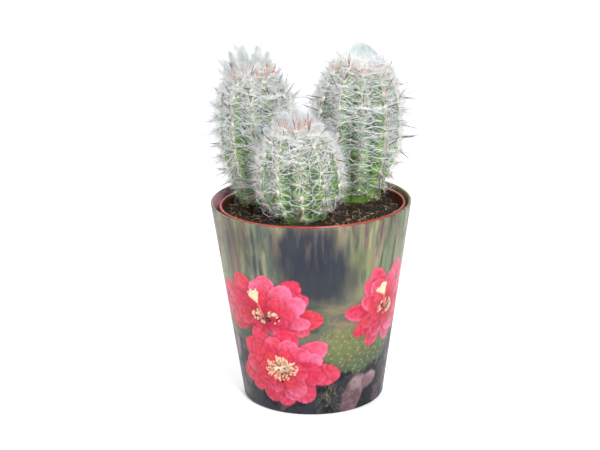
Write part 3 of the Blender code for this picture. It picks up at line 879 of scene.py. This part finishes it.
def random_axes(sizes, rng):
    """Random directions, each scaled by one of three half-lengths (n, 3)."""
    turned = np.linalg.qr(rng.normal(size=(len(sizes), 3, 3)))[0]
    turned *= np.sign(np.linalg.det(turned))[:, None, None]
    return turned * sizes[:, :, None]


def make_crumbs(stems):
    """Loose crumbs of peat, bark chips and a few pale grains."""
    rng = np.random.default_rng(41)
    shape = Shape()
    # small grains, crumbs and long splinters: number, size and half-lengths' shares
    for number, small, large, shares, smooth in (
        (4400, 0.14, 0.13, ((0.6, 1.1),) * 3, 1),
        (800, 0.30, 0.18, ((0.5, 1.1),) * 3, 2),
        (420, 0.30, 0.22, ((0.2, 0.4), (0.4, 0.8), (1.6, 3.2)), 1),
    ):
        places = scattered(number, rng, stems)
        size = (small + rng.gamma(1.6, large, (len(places), 1))) * MM
        size = np.minimum(size, 1.25 * MM)
        sizes = size * np.stack([rng.uniform(*share, len(places)) for share in shares], axis=1)
        places[:, 2] += size[:, 0] * 0.3
        axes = random_axes(sizes, rng)
        axes[:, 2] *= np.where(sizes[:, 2:] > 2.0 * sizes[:, :1], (1.0, 1.0, 0.3), 1.0)
        add_lumps(shape, places, axes, rng.integers(0, BANDS, len(places)), smooth, 0.8, 42)
    made = Finish("crumbs", roughness=0.85)
    _, number = made.band()
    colour = made.ramp(
        made.chance(number),
        [(0.0, 9, 7, 6), (0.5, 30, 22, 15), (0.74, 64, 46, 29),
         (0.86, 104, 74, 46), (0.93, 138, 110, 72), (0.985, 188, 164, 120)],
    )  # fmt: skip
    grain = made.noise(made.object_place(), 1300.0, detail=4.0, roughness=0.7)
    made.colour(made.dimmed(colour, made.share(grain, 0.3, 0.7, 0.5, 1.1)))
    made.bump(grain, 0.3 * MM)
    show("soil_crumbs", shape, made.material)


def make_fibres(stems):
    """Peat fibres, roots and straw lying on the soil."""
    rng = np.random.default_rng(43)
    steps = 7
    share = np.linspace(0.0, 1.0, steps)
    places = scattered(700, rng, stems)
    count = len(places)
    heading = rng.uniform(0.0, TURN, (count, 1)) + rng.normal(0.0, 0.7, (count, 1)) * share
    stride = rng.gamma(2.2, 1.3, (count, 1)) * MM / (steps - 1)
    x = places[:, :1] + np.cumsum(np.cos(heading) * stride, axis=1)
    y = places[:, 1:2] + np.cumsum(np.sin(heading) * stride, axis=1)
    inside = (np.hypot(x - NURSERY_X, y) < SOIL_RADIUS - 0.6 * MM).all(axis=1)
    x, y = x[inside], y[inside]
    z = soil_height(x, y, stems)
    arch = rng.uniform(0.1, 1.3, (len(x), 1)) * MM * np.sin((0.1 + 0.9 * share) * math.pi)
    paths = np.stack([x, y, z + 0.12 * MM + arch], axis=-1)
    shape = Shape()
    radii = taper(len(paths), steps, FIBRE, rng, power=2.0, least=0.4)
    add_strands(shape, paths, radii, rng.integers(0, BANDS, len(paths)), sides=4)
    brown = [(0.0, 58, 38, 26), (1.0, 88, 62, 42)]
    straw = [(0.0, 176, 146, 92), (1.0, 222, 200, 146)]
    finish = strand_finish("fibres", brown, straw, roughness=0.8, vary=0.5)
    show("soil_fibres", shape, finish)


# ---- pots


def make_nursery_pot():
    """The growing pot, as the frame has it but smooth: semi-gloss, with painted shade on its back
    half, and dark brown inside.
    """
    mesh = bpy.data.objects["nursery_pot"].data.copy()
    shape = bmesh.new()
    shape.from_mesh(mesh)
    bmesh.ops.remove_doubles(shape, verts=shape.verts, dist=0.01 * MM)
    shape.to_mesh(mesh)
    shape.free()
    mesh.shade_smooth()
    mesh.set_sharp_from_angle(angle=math.radians(40))
    made = Finish("nursery_plastic")
    place = made.object_place()
    x, y, z = made.node("SeparateXYZ", place).outputs
    wear = made.noise(place, 90.0, detail=5.0)
    worn = made.share(wear, 0.35, 0.7)
    colour = made.mix(worn, linear(148, 51, 36), linear(168, 68, 48))
    # painted shade: the back half of the pot is painted a duller mauve red than the front
    shaded_back_colour = made.mix(worn, linear(146, 66, 66), linear(168, 84, 84))
    colour = made.mix(made.share(y, -42.0 * MM, -6.0 * MM), colour, shaded_back_colour)
    # the inside is painted dark brown, up to a ragged line that follows the bent rim
    off_axis = made.math("SUBTRACT", x, NURSERY_X)
    squares = made.math("ADD", made.times(off_axis, off_axis), made.times(y, y))
    inside = made.share(made.math("SQRT", squares), NURSERY_BORE, 51.6 * MM, 1.0, 0.0)
    drawn_out = made.node("Mapping", place, None, None, (1.0, 1.0, 0.15)).outputs[0]
    streaks = made.noise(drawn_out, 600.0, detail=4.0)
    bent = made.times(y, NURSERY_RISE_FRONT)
    bent = made.math("SUBTRACT", bent, made.times(off_axis, NURSERY_RISE_RIGHT))
    ragged = made.math("ADD", made.math("ADD", z, bent), made.times(streaks, 1.2 * MM))
    below = made.share(ragged, NURSERY_RIM_Z - 0.6 * MM, NURSERY_RIM_Z + 0.2 * MM, 1.0, 0.0)
    dark_inside = made.mix(made.share(streaks, 0.35, 0.65), linear(44, 24, 18), linear(92, 46, 34))
    made.colour(made.mix(made.times(inside, below), colour, dark_inside))
    made.rough(made.share(wear, 0.3, 0.7, 0.30, 0.48))
    made.bump(made.noise(place, 700.0, detail=2.0), 0.04 * MM, 0.5)
    show("terracotta_pot", mesh, made.material, ["nursery_pot"])


PRINT_RADIUS = 47.0 * MM  # turns angles round the pot into lengths of print


class Print:
    """Paints colours over the cover pot's wall, in millimetres round and up it."""

    def __init__(self, angle, height):
        self.angle, self.z = angle, height / MM
        ring = np.stack([np.cos(angle), np.sin(angle)], axis=-1) * PRINT_RADIUS / MM
        self.place = np.column_stack([ring, self.z])
        self.colour = np.zeros((len(angle), 3))
        self.grain = rough_noise(self.place / 1.6, 5)

    def across(self, degrees):
        """Millimetres to the right of a direction; 0 degrees is the front."""
        away = (self.angle + math.pi / 2 - math.radians(degrees) + math.pi) % TURN - math.pi
        return away * PRINT_RADIUS / MM

    def around(self, degrees, centre):
        """How far each place is to the right of a spot, and above it."""
        return self.across(degrees), self.z - centre

    def near(self, across, up, start, reach):
        """Which places lie within reach of start, and how far right and up of it they are."""
        near = (np.abs(across - start[0]) < reach) & (np.abs(up - start[1]) < reach)
        return near, across[near] - start[0], up[near] - start[1]

    def lay(self, colour, cover):
        self.colour += (colour - self.colour) * np.clip(cover, 0.0, 1.0)[:, None]

    def noise(self, size, seed, octaves=3):
        """Noise with cells of size (round, round, up) in millimetres."""
        return rough_noise(self.place / np.array(size, float), seed, octaves)

    def patches(self, size, seed, low=0.45, high=0.6):
        return smooth_share((self.noise(size, seed) - low) / (high - low))

    def blur(self, degrees, centre, wide, tall, colour, cover=1.0):
        """A soft-edged blot of colour with slightly ragged sides."""
        away = np.hypot(self.across(degrees) / wide, (self.z - centre) / tall)
        away = away + 0.5 * (self.noise((5.0, 5.0, 16.0), 15) - 0.5)
        self.lay(colour, cover * smooth_share((1.25 - away) / 0.75))


SLATE, NEAR_BLACK = linear(46, 51, 64), linear(26, 27, 36)
KHAKI, BEIGE = linear(140, 136, 112), linear(152, 148, 128)
OLIVE, MOSS = linear(132, 136, 98), linear(112, 132, 92)
GREY_GREEN, BROWN = linear(92, 110, 98), linear(104, 92, 84)


def paint_background(paper):
    """Out-of-focus greens and browns with dark hollows, and a dark stony floor below."""
    z = paper.z
    paper.lay(KHAKI, np.ones(len(z)))
    for *blot, colour in (
        (-78, 96, 14, 40, KHAKI), (-50, 100, 12, 34, BROWN), (-30, 92, 10, 36, GREY_GREEN),
        (38, 100, 15, 40, OLIVE), (62, 92, 13, 40, MOSS), (86, 100, 14, 36, BEIGE),
        (112, 92, 16, 40, GREY_GREEN), (140, 100, 15, 36, OLIVE), (168, 92, 14, 40, MOSS),
        (-160, 98, 16, 36, BROWN), (-132, 94, 15, 40, OLIVE), (-104, 98, 14, 36, GREY_GREEN),
    ):  # fmt: skip
        paper.blur(*blot, colour, 0.85)
    upper = smooth_share((z - 74.0) / 8.0)
    for seed, cover, *tint in ((11, 0.6, 176, 170, 140), (12, 0.6, 76, 112, 98), (13, 0.7, 52, 52, 70),
                               (14, 0.55, 144, 112, 104), (9, 0.4, 156, 164, 104)):  # fmt: skip
        streaks = paper.patches((2.1, 2.1, 15.0), seed, 0.46, 0.70)
        paper.lay(linear(*tint), upper * cover * streaks)
    for hollow in ((-4, 102, 19, 17), (4, 84, 23, 21), (-165, 82, 20, 22), (126, 84, 15, 18)):
        paper.blur(*hollow, SLATE, 0.95)
    top = smooth_share((z - 86.0) / 20.0)
    for seed, cover, *tint in ((8, 0.5, 128, 110, 100), (7, 0.4, 52, 54, 66)):
        streaks = paper.patches((1.9, 1.9, 14.0), seed, 0.48, 0.74)
        paper.lay(linear(*tint), cover * top * streaks)
    low = smooth_share((74.0 - z) / 10.0)
    band = paper.noise((15.0, 15.0, 4.5), 16)
    paper.lay(linear(94, 98, 84), 0.8 * low)
    paper.lay(linear(140, 124, 100), 0.8 * low * smooth_share((band - 0.55) / 0.12))
    paper.lay(linear(66, 76, 62), 0.8 * low * smooth_share((0.47 - band) / 0.12))
    floor = smooth_share((44.0 - z) / 10.0)
    paper.lay(linear(48, 50, 58), floor)
    paper.lay(NEAR_BLACK, floor * smooth_share((paper.noise((10.0, 10.0, 9.0), 17) - 0.42) / 0.12))
    paper.lay(linear(112, 88, 96), 0.5 * floor * paper.patches((8.0, 8.0, 5.0), 20, 0.6, 0.7))


def paint_grass(paper, degrees, centre, count, seed, spread=(7.0, 5.0), long=(2.0, 6.5)):
    """Thin dry blades that cross each other."""
    rng = np.random.default_rng(seed)
    across, up = paper.around(degrees, centre)
    tints = (linear(168, 164, 104), linear(134, 146, 88), linear(196, 188, 140))
    for _ in range(count):
        foot = rng.normal(0.0, 1.0, 2) * spread
        turn = rng.normal(math.pi / 2, 0.7)
        end = foot + rng.uniform(*long) * np.array([math.cos(turn), math.sin(turn)])
        paint_stroke(paper, across, up, foot, end, 0.05, tints[rng.integers(3)], 0.42)


def paint_pad(paper, degrees, centre, wide, tall, seed):
    """A spotted green cactus pad that fades into the shade."""
    across, up = paper.around(degrees, centre)
    away = np.hypot(across / wide, up / tall) + 0.35 * (paper.noise((3.0, 3.0, 3.0), seed) - 0.5)
    cover = 0.95 * smooth_share((1.12 - away) / 0.28)
    paper.lay(linear(116, 124, 82), cover)
    shade = smooth_share((0.3 * tall - up + 0.2 * across) / (1.3 * tall))
    paper.lay(linear(70, 96, 74), cover * shade)
    paper.lay(linear(92, 84, 70), cover * paper.patches((2.0, 2.0, 2.0), seed + 1, 0.55, 0.7) * 0.6)
    grid, jitter = 2.7, 0.8  # millimetres between the pad's dots, and how far they stray
    row = np.round(up / grid)
    shift = across / grid + 0.5 * (row % 2)
    column = np.round(shift)
    right = (shift - column) * grid + jitter * np.sin(row * 12.9 + column * 78.2 + seed)
    over = up - row * grid + jitter * np.sin(row * 39.3 + column * 11.7 + seed)
    dot = np.hypot(right, over * 1.3)
    bright = 0.55 + 0.45 * np.sin(row * 5.1 + column * 3.7)
    paper.lay(linear(186, 170, 108), cover * bright * smooth_share((1.0 - dot) / 0.9))


def paint_stone(paper, degrees, centre, wide, tall, seed):
    """A leaning mauve stone, lighter on top and mottled."""
    across, up = paper.around(degrees, centre)
    away = np.hypot((across - 0.3 * up) / wide, up / tall)
    away = away + 0.4 * (paper.noise((4.0, 4.0, 4.0), seed) - 0.5)
    cover = smooth_share((1.05 - away) / 0.3)
    paper.lay(linear(126, 98, 106), cover)
    paper.lay(linear(164, 138, 144), cover * smooth_share((up + 0.4 * across) / tall))
    paper.lay(linear(88, 68, 78), 0.7 * cover * paper.patches((3.5, 3.5, 3.0), seed + 1, 0.5, 0.65))


CARMINE, ROSE = linear(184, 24, 58), linear(222, 44, 80)
SCARLET, PINK = linear(228, 58, 72), linear(240, 128, 168)
DEEP_ROSE, CREAM = linear(112, 14, 46), linear(238, 228, 184)
FILAMENT = linear(232, 196, 160)


def paint_petal(paper, across, up, start, end, width, sheen, tone):
    """One pointed petal from start to end, over the shadow it throws on the ones behind."""
    span = np.array(end) - np.array(start)
    size = math.hypot(*span)
    direction = span / size
    reach = size + width + 2.0
    near, a, b = paper.near(across, up, start, reach)
    along = (a * direction[0] + b * direction[1]) / size
    aside = (b * direction[0] - a * direction[1]) / width
    safe = np.clip(along, 0.0, 1.0)
    half = safe**0.6 * np.clip(1.0 - safe**3.2, 0.0, 1.0) ** 0.62
    beyond = np.maximum(np.maximum(-along, along - 1.0), 0.0) * size
    grain = paper.grain[near] - 0.5
    inside = (half - np.abs(aside)) * width - beyond + 0.9 * grain
    piece = paper.colour[near]
    shadow = 0.30 * smooth_share((inside + 2.2) / 2.6)
    piece = piece + (DEEP_ROSE - piece) * shadow[:, None]
    body = CARMINE + (tone - CARMINE) * smooth_share((safe - 0.10) / 0.65)[:, None]
    fold = np.clip(1.0 - np.abs(aside) * 5.0, 0.0, 1.0) * (1.0 - safe) * 0.35
    vein = 0.13 * np.sin(aside * 26.0 + 3.0 * safe) * safe
    body = body + (CARMINE - body) * np.clip(fold + vein, 0.0, 1.0)[:, None]
    lit = direction[0] * 0.35 - aside * np.sign(direction[0] + 0.01) * 0.5 + 0.5
    glow = 1.2 * sheen * smooth_share((safe - 0.25) / 0.7) * np.clip(lit, 0.0, 1.0)
    rim = 0.5 * sheen * smooth_share((1.0 - np.abs(inside - 0.7)) / 0.6) * safe
    body = body + (PINK - body) * np.clip(glow + rim + 0.5 * grain * safe, 0.0, 0.85)[:, None]
    body = body * (1.0 + 0.5 * grain[:, None])
    cover = smooth_share((inside + 0.15) / 0.5)
    paper.colour[near] = piece + (body - piece) * cover[:, None]


def paint_stroke(paper, across, up, start, end, width, colour, cover=1.0):
    """A thin round-ended stroke."""
    span = np.array(end) - np.array(start)
    long = max(float(span @ span), 1e-6)
    reach = math.sqrt(long) + width + 1.0
    near, a, b = paper.near(across, up, start, reach)
    share = np.clip((a * span[0] + b * span[1]) / long, 0.0, 1.0)
    away = np.hypot(a - share * span[0], b - share * span[1])
    amount = cover * smooth_share((width - away) / 0.5 + 0.5)
    piece = paper.colour[near]
    paper.colour[near] = piece + (colour - piece) * amount[:, None]


# A flower's rings of petals, outermost first: their size, number and sheen
OPEN_RINGS = ((1.0, 9, 0.5), (0.88, 9, 0.8), (0.70, 7, 0.55), (0.48, 6, 0.2))
SIDE_RINGS = ((1.0, 11, 0.6), (0.84, 9, 0.85), (0.60, 7, 0.45))


def paint_flower(paper, degrees, centre, reach, seed, face):
    """A cactus flower seen into its face or from its side; it reaches right, up, left, down."""
    rng = np.random.default_rng(seed)
    across, up = paper.around(degrees, centre)
    right, high, left, low = reach
    for scale, count, sheen in OPEN_RINGS if face else SIDE_RINGS:
        turns = TURN * (np.arange(count) + rng.uniform(-0.3, 0.3, count) + rng.random()) / count
        for turn in turns[np.argsort(-np.sin(turns))]:
            size = scale * rng.uniform(0.88, 1.08)
            wide = right if math.cos(turn) > 0 else left
            tall = high if math.sin(turn) > 0 else low
            end = (wide * size * math.cos(turn), tall * size * math.sin(turn))
            start = (0.08 * end[0], 0.08 * end[1])
            width = scale * TURN * 0.5 * (wide + tall) / count * rng.uniform(0.48, 0.62)
            tone = (ROSE + (SCARLET - ROSE) * rng.random()) * (0.86 + 0.14 * math.sin(turn))
            shine = sheen * rng.uniform(0.1, 1.0)
            paint_petal(paper, across, up, start, end, width, shine, tone)
    heart = (0.28 * right, 0.29 * high) if face else (0.25 * right, 0.15 * high)
    for _ in range(26 if face else 10):
        spot = rng.normal(0.0, 0.38, 2) * heart + np.array([0.15, -0.15]) * heart
        paint_stroke(paper, across, up, spot, spot + 0.6, 0.7, linear(46, 12, 26))
    for number in range(74 if face else 40):
        turn = rng.uniform(0.0, TURN)
        inner, outer = rng.uniform(0.1, 0.6), rng.uniform(0.66, 1.08)
        way = np.array([heart[0] * math.cos(turn), heart[1] * math.sin(turn)])
        if face or number % 3 == 0:
            paint_stroke(paper, across, up, way * inner, way * outer, 0.14, FILAMENT, 0.85)
        paint_stroke(paper, across, up, way * outer, way * outer + 0.25, 0.36, CREAM)
    if face:
        for turn in rng.uniform(0.0, TURN, 9):
            tip = np.array([math.cos(turn), math.sin(turn)]) * heart * 0.42
            paint_stroke(paper, across, up, (-0.5, 0.6), tip + (-0.5, 0.6), 0.34, CREAM)
        return
    base = np.array([-0.10 * left, 0.30 * high])
    paint_stroke(paper, across, up, (-1.0, 0.0), base, 0.55, linear(232, 112, 96))
    for lobe in np.linspace(-0.6, 0.6, 8):
        turn = math.radians(116) + lobe
        end = base + np.array([math.cos(turn), math.sin(turn)]) * rng.uniform(5.5, 8.0)
        paint_stroke(paper, across, up, base, end, 0.42, CREAM)
        paint_stroke(paper, across, up, end, end + 0.2, 0.5, linear(252, 246, 214))


def paint_print(angle, height):
    """The whole print's colours: its background, then pads, stones, grass and flowers on it."""
    paper = Print(angle, height)
    paint_background(paper)
    for pad in ((35, 40, 26, 15, 1), (150, 44, 22, 16, 4), (-118, 36, 22, 14, 7)):
        paint_pad(paper, *pad)
    for stone in ((31, 9, 8, 13, 21), (46, 17, 7, 5, 27), (170, 12, 14, 10, 23), (-72, 32, 5, 9, 25)):
        paint_stone(paper, *stone)
    for grass in ((14, 9, 60, 31), (13, 47, 60, 32), (30, 26, 30, 33), (-62, 82, 36, 34),
                  (50, 82, 30, 35), (160, 30, 60, 36), (-140, 20, 60, 37), (100, 10, 50, 38)):
        paint_grass(paper, *grass)
    for degrees, centre, reach, seed, face in (
        (-33, 59, (33, 28, 42, 12), 51, False), (-25, 28, (36, 24, 31, 24), 52, True),
        (56, 60, (29, 27, 27, 23), 53, False), (128, 58, (28, 22, 28, 18), 54, False),
        (113, 27, (25, 20, 25, 20), 55, True), (-170, 36, (29, 23, 27, 22), 56, True),
        (-122, 66, (27, 23, 27, 16), 57, False),
    ):  # fmt: skip
        paint_flower(paper, degrees, centre, reach, seed, face)
    return paper.colour


def arc(centre, radius, first, last, count):
    """Points round part of a circle, from one angle to another in degrees."""
    turns = np.radians(np.linspace(first, last, count))
    return np.array(centre) + radius * np.stack([np.cos(turns), np.sin(turns)], axis=-1)


def make_cover_pot():
    """The tapered outer pot, its rounded rim and foot, and the print round its wall."""
    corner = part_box("printed_cover_pot")[1]
    top_radius, height = corner.x, corner.z
    base_radius, wall, floor, foot = 40.0 * MM, 1.6 * MM, 2.0 * MM, 1.0 * MM
    columns, outer_rows = 580, 150
    slope = (top_radius - base_radius) / height
    rim = wall / 2
    inner_base = base_radius + slope * floor - wall
    rounded_foot = arc((base_radius - foot + slope * foot, foot), foot, -90, -10, 5)
    inner_top, inner_foot = np.array([[top_radius - wall, height - rim], [inner_base, floor]])
    profile = np.concatenate([
        [(base_radius * share, 0.0) for share in (0.3, 0.6, 0.9)],
        rounded_foot,
        np.linspace(rounded_foot[-1], (top_radius, height - rim), outer_rows)[1:],
        arc((top_radius - rim, height - rim), rim, 0, 180, 9)[1:],
        [inner_top + (inner_foot - inner_top) * share for share in (0.15, 0.4, 0.7, 1.0)],
        [(inner_base * 0.5, floor)],
    ])  # fmt: skip
    rings = round_rings(profile[:, 0], profile[:, 1], columns)
    index = np.arange(len(profile))
    printed_from, printed_to = 7, 7 + outer_rows - 1  # the first and last ring of the wall
    places = [0, printed_from, printed_to, index[-1]]
    heights = np.interp(index, places, [0.03, 0.12, 0.88, 0.97])
    mesh = lofted(rings, heights, (0, 0, 0), (0, 0, floor)).mesh("cover_pot")
    points = rings.reshape(-1, 3)
    colour = np.ones((len(points) + 2, 4))
    colour[:-2, :3] = paint_print(np.arctan2(points[:, 1], points[:, 0]), points[:, 2])
    covered = (index >= printed_from - 3) & (index <= printed_to + 5)
    colour[:-2, 3] = np.repeat(covered, columns)
    colour[-2:, 3] = 0.0
    layer = mesh.attributes.new("print", "FLOAT_COLOR", "POINT")
    layer.data.foreach_set("color", colour.astype(np.float32).ravel())

    made = Finish("printed_sleeve", roughness=0.38, Specular_IOR_Level=0.16)
    place = made.object_place()
    paint = made.attribute("print")
    grain = made.noise(place, 2600.0, detail=2.0)
    fleck = made.share(grain, 0.25, 0.75, 0.64, 0.80)
    picture = made.dimmed(paint.outputs["Color"], fleck)
    side = made.node("SeparateXYZ", place).outputs[0]
    cloud = made.noise(place, 60.0)
    mauve = made.mix(cloud, linear(172, 128, 138), linear(190, 146, 156))
    dull = made.mix(cloud, linear(122, 112, 84), linear(142, 130, 98))
    plain = made.mix(made.share(side, -30.0 * MM, 36.0 * MM), mauve, dull)
    made.colour(made.mix(paint.outputs["Alpha"], plain, picture))
    made.rough(made.share(made.noise(place, 220.0), 0.3, 0.7, 0.32, 0.45))
    made.bump(made.noise(place, 420.0, detail=2.0), 0.03 * MM, 0.4)
    show("cover_pot", mesh, made.material, ["printed_cover_pot"])


# ---- stage


def make_stage():
    """A wide pale floor, a soft bright world and four lamps."""
    half = 4.0
    floor = bpy.data.meshes.new("floor")
    corners = [(-half, -half, 0), (half, -half, 0), (half, half, 0), (-half, half, 0)]
    floor.from_pydata(corners, [], [(0, 1, 2, 3)])
    made = Finish("floor", roughness=0.7)
    tone = made.noise(made.object_place(), 3.0)
    made.colour(made.mix(tone, (0.86, 0.86, 0.86), (0.90, 0.90, 0.90)))
    floor.materials.append(made.material)
    stage = bpy.data.objects.new("floor", floor)
    bpy.context.scene.collection.objects.link(stage)
    stage.location.z = -0.2 * MM

    world = bpy.data.worlds.new("studio")
    bpy.context.scene.world = world
    world.use_nodes = True
    colour, strength = world.node_tree.nodes["Background"].inputs[:2]
    colour.default_value, strength.default_value = (0.97, 0.985, 1.0, 1.0), 0.42
    middle = Vector((0.0, 0.0, 0.11))
    for name, place, size, power in (
        ("key", (0.40, -0.95, 1.0), 0.45, 24.0),
        ("fill", (-0.95, -0.7, 0.6), 0.7, 6.0),
        ("rim", (-0.25, 0.9, 0.9), 0.7, 8.5),
        ("far_floor", (0.0, 2.6, 1.6), 2.4, 60.0),
    ):
        lamp = bpy.data.lights.new(name, "AREA")
        lamp.size, lamp.energy = size, power
        light = bpy.data.objects.new(name, lamp)
        light.location = place
        if name != "far_floor":
            light.rotation_euler = (middle - Vector(place)).to_track_quat("-Z", "Y").to_euler()
        bpy.context.scene.collection.objects.link(light)


CAMERA_PLACE = (-0.00638, -1.0, 0.411)
CAMERA_LENS = 111.06
LOOKS_DOWN, CAMERA_ROLL = math.radians(17.32), math.radians(-0.94)


def make_camera():
    """Looks slightly down from the front, and is turned a degree about its own axis."""
    data = bpy.data.cameras.new("camera")
    camera = bpy.data.objects.new("camera", data)
    bpy.context.scene.collection.objects.link(camera)
    bpy.context.scene.camera = camera
    data.lens, data.sensor_width = CAMERA_LENS, 36.0
    data.clip_start, data.clip_end = 0.01, 20.0
    level = Matrix.Rotation(math.radians(90) - LOOKS_DOWN, 4, "X")
    rolled = level @ Matrix.Rotation(CAMERA_ROLL, 4, "Z")
    camera.matrix_world = Matrix.Translation(CAMERA_PLACE) @ rolled
    bpy.context.scene.view_settings.view_transform = "Standard"


def main():
    make_camera()
    make_stage()
    stems = [Stem(name) for name in STEMS]
    for stem in stems:
        stem.others = [other for other in stems if other is not stem]
    felt = [(0.0, 246, 228, 204), (0.5, 252, 248, 240)]
    felt = strand_finish("areole_felt", felt, vary=0.10, roughness=0.8)
    pale = [(0.0, 236, 210, 180), (0.22, 244, 236, 222), (1.0, 247, 247, 243)]
    pale = strand_finish("pale_spines", pale, vary=0.12, roughness=0.35, Sheen_Weight=0.3)
    young = [(0.0, 250, 184, 104), (0.3, 244, 134, 40), (0.75, 210, 92, 30), (1.0, 140, 58, 34)]
    grown = [(0.0, 186, 128, 88), (0.2, 132, 62, 40), (0.55, 78, 32, 28), (1.0, 44, 26, 28)]
    stiff = strand_finish("stiff_spines", young, grown, vary=0.25, roughness=0.3)
    hair = [(0.0, 244, 236, 220), (0.3, 247, 249, 248)]
    hair = strand_finish("white_hair", hair, vary=0.08, roughness=0.4, Sheen_Weight=0.45)
    wool = [(0.0, 248, 214, 176), (0.35, 242, 242, 238), (1.0, 212, 228, 229)]
    wool = strand_finish("crown_wool", wool, vary=0.20, roughness=0.6)
    fine = [(0.0, 236, 232, 224), (0.3, 218, 222, 228), (1.0, 196, 200, 214)]
    fine = strand_finish("stray_hair", fine, vary=0.08, roughness=0.5)
    for number, stem in enumerate(stems):
        make_skin(stem)
        make_pads(stem, felt, 100 + number)
        make_radials(stem, pale, 200 + number)
        make_centrals(stem, stiff, 300 + number)
        make_hair(stem, hair, fine, 400 + number)
        make_crown(stem, wool, 500 + number)
    make_soil(stems)
    make_crumbs(stems)
    make_fibres(stems)
    make_nursery_pot()
    make_cover_pot()


main()
